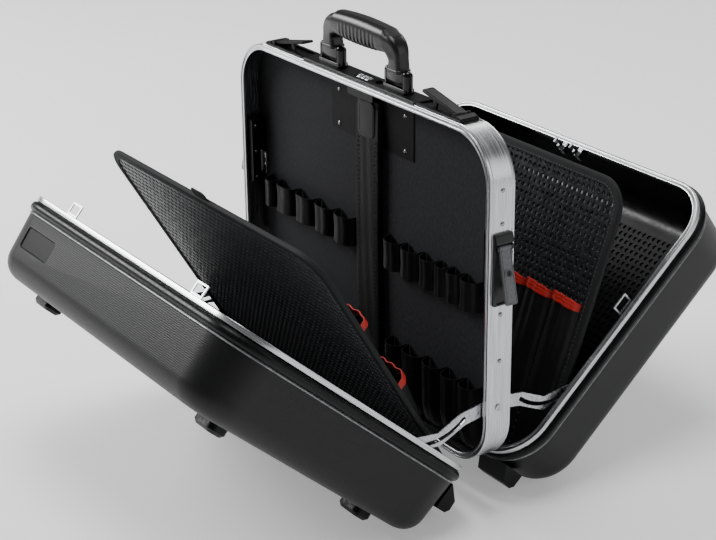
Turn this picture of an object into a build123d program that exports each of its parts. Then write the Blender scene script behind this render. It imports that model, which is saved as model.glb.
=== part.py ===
from build123d import *
import os
from math import atan2, cos, degrees, hypot, radians, sin, tan

# Hard tool case standing open: an upright middle frame with a tool board, two tray shells
# hinged along its lower edge, a pallet in each tray and slotted lid stays at both sides.
# Millimetres, +X along the case, -Y towards the front shell, +Z up, origin on the floor under
# the middle of the frame.
#
# Three local frames are used.
#   frame : x along, y through the band, z up from the underside of the closed case
#   tray  : x along, v up the closed case, w away from the frame's face (a shell's own axes)
#   latch : a from the lever's pivot towards its free end, b across, c out of the band

# ---------------------------------------------------------------- driving dimensions
CASE_WIDTH = 480
CASE_HEIGHT = 375
CORNER_RADIUS = 56

FRAME_DEPTH = 32
FRAME_WALL = 1.6
BEAD_REACH = 7.0
BEAD_DEPTH = 4.0
BEAD_GROOVE = 2.2
BEAD_GROOVE_DEPTH = 1.2

SHELL_DEPTH = 93
SHELL_WALL = 3.0
SHELL_DRAFT = 5.0
SHELL_EDGE_RADIUS = 25.0
SHELL_INSET = 1.2
LIP_END = 20.0
LIP_PROUD = 2.8
LIP_EDGE_RADIUS = 3.0
RIM_DEPTH = 5.6
RIM_CLEARANCE = 0.4
RIM_SLOT_FLOOR = 2.2
RIM_LIP_GAP = 0.4
LABEL_LENGTH = 66.0
LABEL_WIDTH = 25.0
LABEL_DEPTH = 1.0
LABEL_SIDE_INSET = 87.0
LABEL_CENTRE_W = 47.0

OPEN_ANGLE = 48.4
HINGE_OUT = 1.0
HINGE_DROP = 7.0
KNUCKLE_RADIUS = 4.0
HINGE_PIN_RADIUS = 1.5
PIN_CLEARANCE = 0.05
HINGE_LENGTH = 60.0
KNUCKLES = 3
KNUCKLE_GAP = 0.4
LEAF_THICKNESS = 1.5

BOARD_THICKNESS = 3.0
BOARD_CLEARANCE = 0.4
KEEPER_NOTCH_DEPTH = 14.0
KEEPER_NOTCH_HALF = 14.0
STAY_NOTCH_LOW = 50.0
STAY_NOTCH_HIGH = 130.0
TOP_NOTCH_HALF = 22.0
TOP_NOTCH_DEPTH = 16.0
PLATE_WIDTH = 156.0
PLATE_HEIGHT = 69.0
PLATE_THICKNESS = 1.0
PLATE_TOP_GAP = 6.0
PLATE_RIVET_X = 63.0
PLATE_RIVET_DROPS = (67.0, 27.0)

STRAP_WIDTH = 42.0
STRAP_THICKNESS = 9.0
STRAP_TOP_DROP = 23.0
STRAP_BOTTOM = 6.0

WEB_THICKNESS = 1.5
LOOP_LOW = 170.0
LOOP_HEIGHT = 34.5
LOOP_BULGE = 17.0
LEFT_LOOP_SIDE_GAP = 30.0
LEFT_LOOP_MIDDLE_GAP = 28.0
LEFT_LOOP_SHARES = (22.0, 41.0, 41.0, 41.0, 37.0)
RIGHT_LOOP_SIDE_GAP = 36.0
RIGHT_LOOP_MIDDLE_GAP = 34.0
RIGHT_LOOP_SHARES = (33.0, 33.0, 30.0, 22.0, 22.0, 30.0)
POCKET_LOW = 10.0
POCKET_TOP = 83.0
POCKET_BULGE = 19.0
POCKET_SIDE_GAP = 35.0
POCKET_START = 40.0
POCKET_SHARES = (29.0, 38.0, 36.0, 32.0, 30.0)
LOOP_VALLEY = 3.0

RIVET_HEAD_RADIUS = 2.3
RIVET_HEAD_HEIGHT = 1.1
RIVET_TOP_RADIUS = 1.5
SIDE_RIVET_DROPS = (245.0, 192.5, 93.0, 57.0)

HANDLE_PLATE_SIDE_GAP = 133.0
TOP_PLATE_WIDTH = 25.0
TOP_PLATE_THICKNESS = 3.0
HANDLE_LEG_X = 62.0
HANDLE_LEG_WIDTH = 18.0
HANDLE_LEG_DEPTH = 18.0
HANDLE_FOOT_WIDTH = 30.0
HANDLE_FOOT_RADIUS = 5.6
HANDLE_PIVOT_RISE = 12.4
HANDLE_TOP_RISE = 67.0
HANDLE_END_RISE = 62.0
GRIP_HEIGHT = 24.0
GRIP_DEPTH = 27.0
GRIP_BELLY = 3.0
GRIP_OUTER_RADIUS = 24.0
GRIP_INNER_RADIUS = 7.0
GRIP_END_SCALE = 0.86
GRIP_EDGE_RADIUS = 10.0
FINGER_RIBS = 9
FINGER_RIB_PITCH = 7.0
FINGER_RIB_WIDTH = 2.6
FINGER_RIB_LENGTH = 16.0
FINGER_RIB_PROUD = 0.8
LEG_FLARE = 2.0
EAR_THICKNESS = 5.0
EAR_DEPTH = 11.5
EAR_HEIGHT = 25.0
EAR_CHAMFER = 1.4
MOUNT_BLOCK_HEIGHT = 5.6
HANDLE_PIN_RADIUS = 2.0
SIDE_PLAY = 0.4

WHEEL_RADIUS = 5.8
WHEEL_WIDTH = 6.4
WHEEL_PITCH = 8.0
WHEEL_PROUD = 1.5
WHEEL_COUNT = 3
AXLE_RADIUS = 1.2
WHEEL_PLAY = 0.4
AXLE_SEAT = 3.2
SLIDE_LENGTH = 8.0
SLIDE_WIDTH = 8.0
SLIDE_TRAVEL = 7.0
SLIDE_START_X = 17.0
SLIDE_HEIGHT = 3.0
LOCK_HOUSING_HALF = 24.0
LOCK_HOUSING_DROP = 18.0
LOCK_HOUSING_DEPTH = 15.4

TOP_LATCH_SIDE_GAP = 68.5
TOP_KEEPER_STEP = 36.5
SIDE_LATCH_DROP = 117.0
SIDE_KEEPER_STEP = 44.0
LATCH_TAIL = 14.5
LATCH_REACH = 64.0
LATCH_BASE_WIDTH = 24.0
LATCH_BASE_HEIGHT = 3.0
LATCH_RECESS_DEPTH = 2.0
LEVER_LENGTH = 60.0
LEVER_WIDTH = 15.0
LEVER_THICKNESS = 3.0
LEVER_PIVOT_RISE = 4.3
LATCH_PIN_RADIUS = 1.2
LATCH_EAR_THICKNESS = 2.4
LATCH_EAR_HALF = 3.2
LATCH_EAR_TOP = 2.6
LATCH_TAIL_RISE = 6.0
LATCH_TAIL_GAP = 4.4
LATCH_CORNER_RADIUS = 2.0
TOP_LEVER_ANGLE = 12.0
SIDE_LEVER_ANGLE = 13.0
HOOK_OFFSET = 5.25
HOOK_THICKNESS = 2.5
HOOK_LENGTH = 6.0
HOOK_REACH = 13.0
HOOK_SLOT_LENGTH = 17.0
HOOK_SLOT_WIDTH = 4.6
BARREL_AT = 27.0
BARREL_RADIUS = 5.2
PLUG_RADIUS = 3.2
BARREL_PROUD = 1.0

KEEPER_WIDTH = 21.0
KEEPER_THICKNESS = 1.5
KEEPER_INSET = 7.9
KEEPER_REACH = 14.4
KEEPER_BAR = 2.0
KEEPER_FOOT_END = 14.0
LOCK_HOOK_X = 14.0
LOCK_HOOK_DROP = 13.0
LOCK_HOOK_HEIGHT = 6.0
LOCK_HOOK_MOUTH = 2.6
LOCK_HOOK_NOSE = 3.4
LOCK_HOOK_REACH = 10.0
LOCK_HOOK_THICKNESS = 3.0
LOCK_HOOK_PLAY = 0.9

LATCH_HOUSING_DEPTH = 14.0
LATCH_HOUSING_Y = 11.0
KEEPER_ROOM_HALF = 20.0

STAY_PIVOT_Z = 76.0
STAY_PIN_W = 10.5
STAY_PIN_V = 105.0
STAY_THICKNESS = 1.5
STAY_WIDTH = 15.0
STAY_SLOT_WIDTH = 4.9
STAY_PIN_RADIUS = 2.2
STAY_PIVOT_RADIUS = 2.5
STAY_HEAD_RADIUS = 4.0
STAY_HEAD_THICKNESS = 1.2
FRONT_STAY_INSET = 8.6
REAR_STAY_INSET = 10.5

PALLET_SIDE_GAP = 20.0
PALLET_CORNER = 40.0
PALLET_THICKNESS = 4.0
BINDING_WIDTH = 11.0
BINDING_THICKNESS = 6.5
FRONT_PALLET_V = 10.0
FRONT_PALLET_W = 15.0
FRONT_PALLET_ANGLE = 18.0
REAR_PALLET_V = 16.0
REAR_PALLET_FLOOR_GAP = 28.0
REAR_PALLET_ANGLE = 28.5
TAB_WIDTH = 30.0
TAB_HEIGHT = 14.0
POCKET_EDGE_GAP = 11.0
POCKET_GAP = 3.0
POCKET_FOOT_THICKNESS = 3.0
FRONT_POCKET_COUNT = 3
FRONT_LOW_MOUTH = 142.0
FRONT_LOW_BULGE = 16.0
FRONT_HIGH_MOUTH = 226.0
FRONT_HIGH_BULGE = 10.0
REAR_POCKET_COUNT = 9
REAR_MOUTH = 188.0
REAR_BULGE = 11.0
ELASTIC_HEIGHT = 11.0
ELASTIC_PROUD = 1.6
HINGE_TAPE_THICKNESS = 1.2
HINGE_TAPE_MARGIN = 40.0
HINGE_TAPE_GAP = 0.6
PALLET_EDGE_RISE = 1.5

FACE_FOOT_SIDE_GAP = 60.0
FACE_FOOT_END_GAP = 75.0
FACE_FOOT_LENGTH = 36.0
FACE_FOOT_WIDTH = 24.0
FACE_FOOT_HEIGHT = 11.0
EDGE_FOOT_SIDE_GAP = 52.0
EDGE_FOOT_WIDTH = 46.0
EDGE_FOOT_START_W = 21.0
EDGE_FOOT_SLOPE = 15.0
EDGE_FOOT_END_W = 52.0
EDGE_FOOT_NOSE = 5.0
EDGE_FOOT_DROP = 16.0
FLOOR_PANEL_MARGIN = 42.0
FLOOR_PANEL_THICKNESS = 3.0

# ---------------------------------------------------------------- derived places
HALF_WIDTH = CASE_WIDTH / 2
FACE_Y = FRAME_DEPTH / 2
HINGE_Y = FACE_Y + HINGE_OUT
WALL_INSET = SHELL_INSET + SHELL_WALL
BOARD_BACK_Y = FACE_Y - BEAD_DEPTH
BOARD_FRONT_Y = BOARD_BACK_Y - BOARD_THICKNESS
PLATE_TOP_Z = CASE_HEIGHT + TOP_PLATE_THICKNESS
HANDLE_PIVOT_Z = PLATE_TOP_Z + HANDLE_PIVOT_RISE
WHEEL_Z = PLATE_TOP_Z + WHEEL_PROUD - WHEEL_RADIUS
LIP_START = RIM_CLEARANCE + RIM_DEPTH + RIM_LIP_GAP
HINGE_CENTRE_X = HALF_WIDTH / 2
HANDLE_PLATE_HALF = HALF_WIDTH - HANDLE_PLATE_SIDE_GAP
TOP_LATCH_PIVOT_X = HALF_WIDTH - TOP_LATCH_SIDE_GAP
TOP_LATCH_KEEPER_X = TOP_LATCH_PIVOT_X - TOP_KEEPER_STEP
SIDE_LATCH_PIVOT_Z = CASE_HEIGHT - SIDE_LATCH_DROP
SIDE_KEEPER_Z = SIDE_LATCH_PIVOT_Z - SIDE_KEEPER_STEP
LOCK_HOOK_V = CASE_HEIGHT - LOCK_HOOK_DROP
WHEEL_ROOM_HALF = WHEEL_COUNT * WHEEL_PITCH / 2 + 1.5 * WHEEL_PLAY
SADDLE_HALF = WHEEL_ROOM_HALF + AXLE_SEAT
PALLET_WIDTH = CASE_WIDTH - 2 * PALLET_SIDE_GAP
PALLET_HEIGHT = CASE_HEIGHT - 2 * PALLET_SIDE_GAP
REAR_PALLET_W = SHELL_DEPTH - REAR_PALLET_FLOOR_GAP


def wall_inset_at(w):
    """Inset of a shell's outer wall at depth w, with its draft."""
    return SHELL_INSET + max(0.0, w - LIP_END) * tan(radians(SHELL_DRAFT))


def floor_drop():
    """Depth of the opened shells' rounded lower edge under the frame's underside."""
    centre_w = SHELL_DEPTH - SHELL_EDGE_RADIUS
    centre_v = wall_inset_at(centre_w) + SHELL_EDGE_RADIUS / cos(radians(SHELL_DRAFT))
    rise = (centre_v + HINGE_DROP) * cos(radians(OPEN_ANGLE))
    fall = (centre_w - HINGE_OUT) * sin(radians(OPEN_ANGLE))
    return SHELL_EDGE_RADIUS + HINGE_DROP + fall - rise


LIFT = floor_drop()

# ---------------------------------------------------------------- placing helpers


def block(x0, x1, y0, y1, z0, z1):
    """Rectangular block between two opposite corners."""
    size = (abs(x1 - x0), abs(y1 - y0), abs(z1 - z0))
    centre = Pos((x0 + x1) / 2, (y0 + y1) / 2, (z0 + z1) / 2)
    return centre * Box(*size)


def rod(radius, start, end):
    """Round bar between two points."""
    a, b = Vector(*start), Vector(*end)
    plane = Plane(origin=a, z_dir=(b - a).normalized())
    return extrude(plane * Circle(radius), (b - a).length)


def rounded_slab(inset, w0, w1):
    """Slab with the case's outline drawn in by inset, in tray axes."""
    outline = RectangleRounded(CASE_WIDTH - 2 * inset, CASE_HEIGHT - 2 * inset, CORNER_RADIUS - inset)
    return Pos(0, CASE_HEIGHT / 2, w0) * extrude(outline, w1 - w0)


def ring(outer_inset, inner_inset, w0, w1):
    """Band that follows the case's outline, in tray axes."""
    return rounded_slab(outer_inset, w0, w1) - rounded_slab(inner_inset, w0 - 1, w1 + 1)


def on_frame(part):
    """Lift a piece from frame axes to the standing case."""
    return Pos(0, 0, LIFT) * part


def tray_location(rear):
    """Location of an opened tray's axes in the standing case."""
    seated = Pos(0, -FACE_Y, 0) * Rot(90, 0, 0)
    opened = Pos(0, -HINGE_Y, -HINGE_DROP) * Rot(OPEN_ANGLE, 0, 0) * Pos(0, HINGE_Y, HINGE_DROP) * seated
    turned = Rot(0, 0, 180) * opened if rear else opened
    return Pos(0, 0, LIFT) * turned


def pallet_location(rear):
    """Location of a pallet's axes (x, s up the board, t towards the shell) in the standing case."""
    v = REAR_PALLET_V if rear else FRONT_PALLET_V
    w = REAR_PALLET_W if rear else FRONT_PALLET_W
    lean = REAR_PALLET_ANGLE if rear else FRONT_PALLET_ANGLE
    return tray_location(rear) * Pos(0, v, w) * Rot(-lean, 0, 0)


def top_latch_location(right):
    """Latch axes of a top latch, the free end of its lever towards the handle."""
    turn = Rot(0, 0, 180) if right else Rot(0, 0, 0)
    side = 1 if right else -1
    return Pos(side * TOP_LATCH_PIVOT_X, 0, CASE_HEIGHT) * turn


def side_latch_location(right):
    """Latch axes of a side latch, the free end of its lever downwards."""
    turn = Rot(0, 0, 0) if right else Rot(0, 0, 180)
    side = 1 if right else -1
    return Pos(side * HALF_WIDTH, 0, SIDE_LATCH_PIVOT_Z) * turn * Rot(0, 90, 0)


LATCHES = {
    "top_left": (top_latch_location(False), -1, TOP_LEVER_ANGLE),
    "top_right": (top_latch_location(True), 1, TOP_LEVER_ANGLE),
    "side_left": (side_latch_location(False), -1, SIDE_LEVER_ANGLE),
    "side_right": (side_latch_location(True), 1, SIDE_LEVER_ANGLE),
}
HOOK_AT = {"top": TOP_KEEPER_STEP, "side": SIDE_KEEPER_STEP}


def hook_distance(name):
    """Distance from a lever's pivot to its hook."""
    return HOOK_AT[name.split("_")[0]]


# ---------------------------------------------------------------- middle frame


def hook_slot(name):
    """Cut through the band and the latch base for the swing of a lever's hook."""
    side = LATCHES[name][1]
    middle = hook_distance(name)
    b0 = side * HOOK_OFFSET - HOOK_SLOT_WIDTH / 2
    a0 = middle - HOOK_SLOT_LENGTH / 2
    return block(a0, a0 + HOOK_SLOT_LENGTH, b0, b0 + HOOK_SLOT_WIDTH, -2 * BEAD_REACH, LATCH_BASE_HEIGHT)


def frame_band():
    """Extruded profile bent to the case's outline: thin web, grooved bead at each face."""
    seated = Pos(0, FACE_Y, 0) * Rot(90, 0, 0)
    groove_start = (BEAD_REACH - BEAD_GROOVE) / 2
    web = ring(0, FRAME_WALL, 0, FRAME_DEPTH)
    bead = ring(0, BEAD_REACH, 0, BEAD_DEPTH)
    groove = ring(groove_start, groove_start + BEAD_GROOVE, 0, BEAD_GROOVE_DEPTH)
    near = bead - groove
    far = Pos(0, 0, FRAME_DEPTH) * mirror(near, Plane.XY)
    band = seated * (web + near + far)
    for name, (location, _, _) in LATCHES.items():
        band -= location * hook_slot(name)
    slot_half = SADDLE_HALF + SIDE_PLAY
    window = block(-slot_half, slot_half, -WHEEL_RADIUS, WHEEL_RADIUS, 0, 4 * FRAME_WALL)
    band -= Pos(0, 0, CASE_HEIGHT - 2 * FRAME_WALL) * window
    return on_frame(band)


def rivet(location):
    """Low rivet head, its seat on the local XY plane."""
    seated = (Align.CENTER, Align.CENTER, Align.MIN)
    return location * Cone(RIVET_HEAD_RADIUS, RIVET_TOP_RADIUS, RIVET_HEAD_HEIGHT, align=seated)


def rivets():
    """Rivets of the side bands, of the housings inside them and of the board's plate."""
    heads = []
    for side in (-1, 1):
        for drop in SIDE_RIVET_DROPS:
            heads.append(rivet(Pos(side * HALF_WIDTH, 0, CASE_HEIGHT - drop) * Rot(0, side * 90, 0)))
        for drop in PLATE_RIVET_DROPS:
            y = BOARD_FRONT_Y - PLATE_THICKNESS
            heads.append(rivet(Pos(side * PLATE_RIVET_X, y, CASE_HEIGHT - drop) * Rot(90, 0, 0)))
    return on_frame(Compound(heads))


def tool_board():
    """Board behind the tool loops, seated on the rear bead, notched for keepers, stays and lock."""
    inset = FRAME_WALL + BOARD_CLEARANCE
    board = Pos(0, BOARD_BACK_Y, 0) * Rot(90, 0, 0) * rounded_slab(inset, 0, BOARD_THICKNESS)
    y0, y1 = BOARD_FRONT_Y - 1, BOARD_BACK_Y + 1
    for side in (-1, 1):
        edge = side * HALF_WIDTH
        notch = side * (HALF_WIDTH - KEEPER_NOTCH_DEPTH)
        keeper_z = (SIDE_KEEPER_Z - KEEPER_NOTCH_HALF, SIDE_KEEPER_Z + KEEPER_NOTCH_HALF)
        board -= block(notch, edge, y0, y1, *keeper_z)
        board -= block(notch, edge, y0, y1, STAY_NOTCH_LOW, STAY_NOTCH_HIGH)
    top = CASE_HEIGHT
    board -= block(-TOP_NOTCH_HALF, TOP_NOTCH_HALF, y0, y1, top - TOP_NOTCH_DEPTH, top)
    return on_frame(board)


def board_plate():
    """Thin plate riveted over the top of the board, below the handle."""
    top = CASE_HEIGHT - PLATE_TOP_GAP
    half = PLATE_WIDTH / 2
    plate = block(-half, half, BOARD_FRONT_Y - PLATE_THICKNESS, BOARD_FRONT_Y, top - PLATE_HEIGHT, top)
    notch_z = CASE_HEIGHT - TOP_NOTCH_DEPTH
    plate -= block(-TOP_NOTCH_HALF, TOP_NOTCH_HALF, 0, BOARD_BACK_Y, notch_z, CASE_HEIGHT)
    return on_frame(plate)


def centre_strap():
    """Webbing strap down the middle of the board, its rounded top end on the plate."""
    half = STRAP_WIDTH / 2
    back = BOARD_FRONT_Y - PLATE_THICKNESS
    strap = block(-half, half, back - STRAP_THICKNESS, back, STRAP_BOTTOM, CASE_HEIGHT - STRAP_TOP_DROP)
    corners = strap.edges().filter_by(Axis.Y).group_by(Axis.Z)[-1]
    return on_frame(fillet(corners, half / 3))


def shared_pitches(length, shares):
    """Pitches that fill a length in given shares."""
    return tuple(length * share / sum(shares) for share in shares)


def webbing_strip(start, pitches, side, low, height, bulge):
    """Solid of a row of loops: each loop is a hollow trapezoid joined by flat sewn valleys."""
    faces = []
    x = start
    t = WEB_THICKNESS
    for pitch in pitches:
        first = x + LOOP_VALLEY / 2
        last = x + pitch - LOOP_VALLEY / 2
        crown = min(0.45 * bulge, (last - first) / 3)
        outside = [(first, 0), (first, bulge - crown), (first + crown, bulge),
                   (last - crown, bulge), (last, bulge - crown), (last, 0)]
        inner_crown = crown - 0.6 * t
        inside = [(first + t, 0), (first + t, bulge - t - inner_crown), (first + t + inner_crown, bulge - t),
                  (last - t - inner_crown, bulge - t), (last - t, bulge - t - inner_crown), (last - t, 0)]
        faces.append(make_face(Polyline(*(outside + inside[::-1]), close=True)))
        x += pitch
    edges = [start]
    for pitch in pitches:
        edges.append(edges[-1] + pitch)
    for edge in edges:
        faces.append(Pos(edge, t / 2) * Rectangle(LOOP_VALLEY + 0.2, t))
    section = faces[0]
    for face in faces[1:]:
        section += face
    solid = extrude(section, height)
    standing = Pos(0, BOARD_FRONT_Y, low) * mirror(solid, Plane.XZ)
    return on_frame(mirror(standing, Plane.YZ) if side < 0 else standing)


def frame_stay_pivots():
    """Shouldered pins through the side bands that carry both stays of a side."""
    pins = []
    inner = REAR_STAY_INSET + STAY_THICKNESS + 0.3
    for side in (-1, 1):
        edge = side * HALF_WIDTH
        y, z = 0.0, STAY_PIVOT_Z
        shaft = rod(STAY_PIVOT_RADIUS, (edge, y, z), (edge - side * (inner + STAY_HEAD_THICKNESS), y, z))
        seat = side * (HALF_WIDTH - FRAME_WALL)
        collar_end = side * (HALF_WIDTH - FRONT_STAY_INSET + 0.3)
        collar = rod(STAY_HEAD_RADIUS, (seat, y, z), (collar_end, y, z))
        head_start = side * (HALF_WIDTH - inner)
        head = rod(STAY_HEAD_RADIUS, (head_start, y, z), (head_start - side * STAY_HEAD_THICKNESS, y, z))
        outside = rod(STAY_HEAD_RADIUS, (edge, y, z), (edge + side * STAY_HEAD_THICKNESS, y, z))
        web_part = rod(STAY_PIVOT_RADIUS, (edge, y, z), (seat, y, z))
        pins.append(shaft - web_part + collar + head)
        pins.append(outside)
    return on_frame(Compound([solid for pin in pins for solid in pin.solids()]))


# ---------------------------------------------------------------- frame hardware


def latch_base():
    """Latch base plate: recessed bed, raised sloping tail and two pivot ears."""
    half = LATCH_BASE_WIDTH / 2
    bed = block(-LATCH_TAIL, LATCH_REACH, -half, half, 0, LATCH_BASE_HEIGHT)
    bed = fillet(bed.edges().filter_by(Axis.Z), LATCH_CORNER_RADIUS)
    pocket_half = LEVER_WIDTH / 2 + SIDE_PLAY
    floor_c = LATCH_BASE_HEIGHT - LATCH_RECESS_DEPTH
    pocket_end = LATCH_REACH - 1.5
    bed -= block(-4.0, pocket_end, -pocket_half, pocket_half, floor_c, LATCH_BASE_HEIGHT + 1)
    step = LATCH_BASE_HEIGHT + LATCH_TAIL_RISE
    slope = [(1 - LATCH_TAIL, LATCH_BASE_HEIGHT), (2 - LATCH_TAIL, 0.47 * step),
             (-LATCH_TAIL_GAP - 2, LATCH_TAIL_RISE), (-LATCH_TAIL_GAP, LATCH_TAIL_RISE),
             (-LATCH_TAIL_GAP, LATCH_BASE_HEIGHT)]
    tail_face = Plane.XZ * make_face(Polyline(*slope, close=True))
    bed += extrude(tail_face, half - 1, both=True)
    for side in (-1, 1):
        ear = side * pocket_half
        outside = ear + side * LATCH_EAR_THICKNESS
        top = LEVER_PIVOT_RISE + LATCH_EAR_TOP
        post = block(-LATCH_EAR_HALF, LATCH_EAR_HALF, ear, outside, LATCH_BASE_HEIGHT - 1, top)
        bed += fillet(post.edges().filter_by(Axis.Y).group_by(Axis.Z)[-1], 0.75 * LATCH_EAR_HALF)
    return bed - rod(LATCH_PIN_RADIUS, (0, -half, LEVER_PIVOT_RISE), (0, half, LEVER_PIVOT_RISE))


def latch_bases(prefix):
    """The two latch bases on the top, or on the sides, each slotted for its hook."""
    bases = []
    for name, (location, _, _) in LATCHES.items():
        if name.startswith(prefix):
            bases.append(location * (latch_base() - hook_slot(name)))
    return on_frame(Compound([solid for base in bases for solid in base.solids()]))


def lever_body(name):
    """Closed draw lever with the hook under it, in latch axes."""
    side = LATCHES[name][1]
    half = LEVER_WIDTH / 2
    under = LEVER_PIVOT_RISE - LEVER_THICKNESS / 2
    top = LEVER_PIVOT_RISE + LEVER_THICKNESS / 2
    plate = block(-2.6, LEVER_LENGTH, -half, half, under, top)
    plate = fillet(plate.edges().filter_by(Axis.Z).group_by(Axis.X)[-1], 2.0)
    plate = chamfer(plate.faces().sort_by(Axis.Z)[-1].edges(), 0.5)
    barrel_end = top + BARREL_PROUD
    middle = hook_distance(name)
    b0 = side * HOOK_OFFSET - HOOK_THICKNESS / 2
    nose = [(middle - HOOK_LENGTH / 2, under + 0.5), (middle - HOOK_LENGTH / 2, -HOOK_REACH + 2),
            (middle - 1, -HOOK_REACH), (middle + 1, -HOOK_REACH),
            (middle + HOOK_LENGTH / 2, -HOOK_REACH + 2), (middle + HOOK_LENGTH / 2, under + 0.5)]
    hook = extrude(Plane.XZ * make_face(Polyline(*nose, close=True)), -HOOK_THICKNESS)
    lever = plate + Pos(0, b0, 0) * hook
    if name.startswith("side"):
        lever += Pos(BARREL_AT, 0, (under + barrel_end) / 2) * Cylinder(BARREL_RADIUS, barrel_end - under)
        lever -= Pos(BARREL_AT, 0, barrel_end) * Cylinder(PLUG_RADIUS + PIN_CLEARANCE, 2 * BARREL_PROUD + 4)
    bore = LATCH_PIN_RADIUS + PIN_CLEARANCE
    return lever - rod(bore, (0, -half - 1, LEVER_PIVOT_RISE), (0, half + 1, LEVER_PIVOT_RISE))


def raised(name):
    """Location of a lever's axes when it stands open."""
    location, _, angle = LATCHES[name]
    pivot = Pos(0, 0, LEVER_PIVOT_RISE)
    return location * pivot * Rot(0, -angle, 0) * Pos(0, 0, -LEVER_PIVOT_RISE)


def latch_lever(name):
    """Draw lever standing open."""
    return on_frame(raised(name) * lever_body(name))


def lock_plug(name):
    """Keyed plug in the barrel of a side lever, with its key slot."""
    top = LEVER_PIVOT_RISE + LEVER_THICKNESS / 2 + BARREL_PROUD
    bottom = top - BARREL_PROUD - 1.9
    plug = Pos(BARREL_AT, 0, (top + bottom) / 2) * Cylinder(PLUG_RADIUS, top - bottom)
    plug -= block(BARREL_AT - 2.2, BARREL_AT + 2.2, -0.45, 0.45, top - 1.5, top + 1)
    return on_frame(raised(name) * plug)


def latch_housings():
    """Covers over the latch slots on the inside of the band, open towards their keepers."""
    covers = []
    back = BOARD_FRONT_Y - 0.4
    for side in (-1, 1):
        outer = side * (HALF_WIDTH - FRAME_WALL)
        inner = side * (HALF_WIDTH - FRAME_WALL - LATCH_HOUSING_DEPTH)
        low = SIDE_LATCH_PIVOT_Z - LATCH_REACH
        high = SIDE_LATCH_PIVOT_Z + LATCH_TAIL
        cover = block(inner, outer, -LATCH_HOUSING_Y, back, low, high)
        cover = fillet(cover.edges().filter_by(Axis.Y).group_by(Axis.X)[0 if side > 0 else -1], 4.0)
        room = (SIDE_KEEPER_Z - KEEPER_ROOM_HALF, SIDE_KEEPER_Z + KEEPER_ROOM_HALF)
        covers.append(cover - block(inner, outer, 0, back, *room))
        x0 = side * (TOP_LATCH_PIVOT_X - LATCH_REACH + 6)
        x1 = side * (TOP_LATCH_PIVOT_X + 8)
        top = CASE_HEIGHT - FRAME_WALL
        cover = block(x0, x1, 0, back, top - LATCH_HOUSING_DEPTH, top)
        covers.append(fillet(cover.edges().filter_by(Axis.Y).group_by(Axis.Z)[0], 4.0))
    return on_frame(Compound([solid for cover in covers for solid in cover.solids()]))


def lock_housing():
    """Box under the band's middle that carries the number wheels' axle."""
    top = CASE_HEIGHT - FRAME_WALL
    half_y = LOCK_HOUSING_DEPTH / 2
    half_x = LOCK_HOUSING_HALF
    bottom = top - LOCK_HOUSING_DROP
    box = block(-half_x, half_x, -half_y, half_y, bottom, top)
    box = fillet(box.edges().filter_by(Axis.Y).group_by(Axis.Z)[0], 3.0)
    room = WHEEL_ROOM_HALF
    saddle_y = WHEEL_RADIUS - SIDE_PLAY
    box += block(-SADDLE_HALF, SADDLE_HALF, -saddle_y, saddle_y, top - 1, CASE_HEIGHT)
    room_y = WHEEL_RADIUS + WHEEL_PLAY
    box -= block(-room, room, -room_y, room_y, WHEEL_Z - WHEEL_RADIUS - WHEEL_PLAY, CASE_HEIGHT + 1)
    box -= rod(AXLE_RADIUS, (-SADDLE_HALF, 0, WHEEL_Z), (SADDLE_HALF, 0, WHEEL_Z))
    for side in (-1, 1):
        x = side * LOCK_HOOK_X
        half = LOCK_HOOK_THICKNESS / 2 + LOCK_HOOK_PLAY
        reach_z = LOCK_HOOK_HEIGHT / 2 + LOCK_HOOK_PLAY
        z0, z1 = LOCK_HOOK_V - reach_z, LOCK_HOOK_V + reach_z
        box -= block(x - half, x + half, FACE_Y - LOCK_HOOK_REACH - LOCK_HOOK_PLAY, FACE_Y, z0, z1)
    return on_frame(box)


def wheel_axle():
    """Axle of the number wheels."""
    return on_frame(rod(AXLE_RADIUS, (-SADDLE_HALF, 0, WHEEL_Z), (SADDLE_HALF, 0, WHEEL_Z)))


def number_wheel(index):
    """Number wheel with ten flats and its bore on the axle."""
    x = (index - (WHEEL_COUNT - 1) / 2) * WHEEL_PITCH
    profile = RegularPolygon(WHEEL_RADIUS, 10) - Circle(AXLE_RADIUS + PIN_CLEARANCE)
    wheel = extrude(profile, WHEEL_WIDTH / 2, both=True)
    return on_frame(Pos(x, 0, WHEEL_Z) * Rot(0, 90, 0) * wheel)


def handle_plate():
    """Long plate on the band's top with the wheel window and the slide's track."""
    half = TOP_PLATE_WIDTH / 2
    plate = block(-HANDLE_PLATE_HALF, HANDLE_PLATE_HALF, -half, half, CASE_HEIGHT, PLATE_TOP_Z)
    plate = fillet(plate.edges().filter_by(Axis.Z), 2.0)
    plate = chamfer(plate.faces().sort_by(Axis.Z)[-1].edges(), 0.6)
    window_y = WHEEL_RADIUS + WHEEL_PLAY
    plate -= block(-WHEEL_ROOM_HALF, WHEEL_ROOM_HALF, -window_y, window_y, CASE_HEIGHT - 1, PLATE_TOP_Z + 1)
    track_end = SLIDE_START_X + SLIDE_LENGTH + SLIDE_TRAVEL + 0.5
    track_y = SLIDE_WIDTH / 2 + SIDE_PLAY
    track_floor = PLATE_TOP_Z - TOP_PLATE_THICKNESS / 2
    plate -= block(SLIDE_START_X - 0.5, track_end, -track_y, track_y, track_floor, PLATE_TOP_Z + 1)
    return on_frame(plate)


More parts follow.
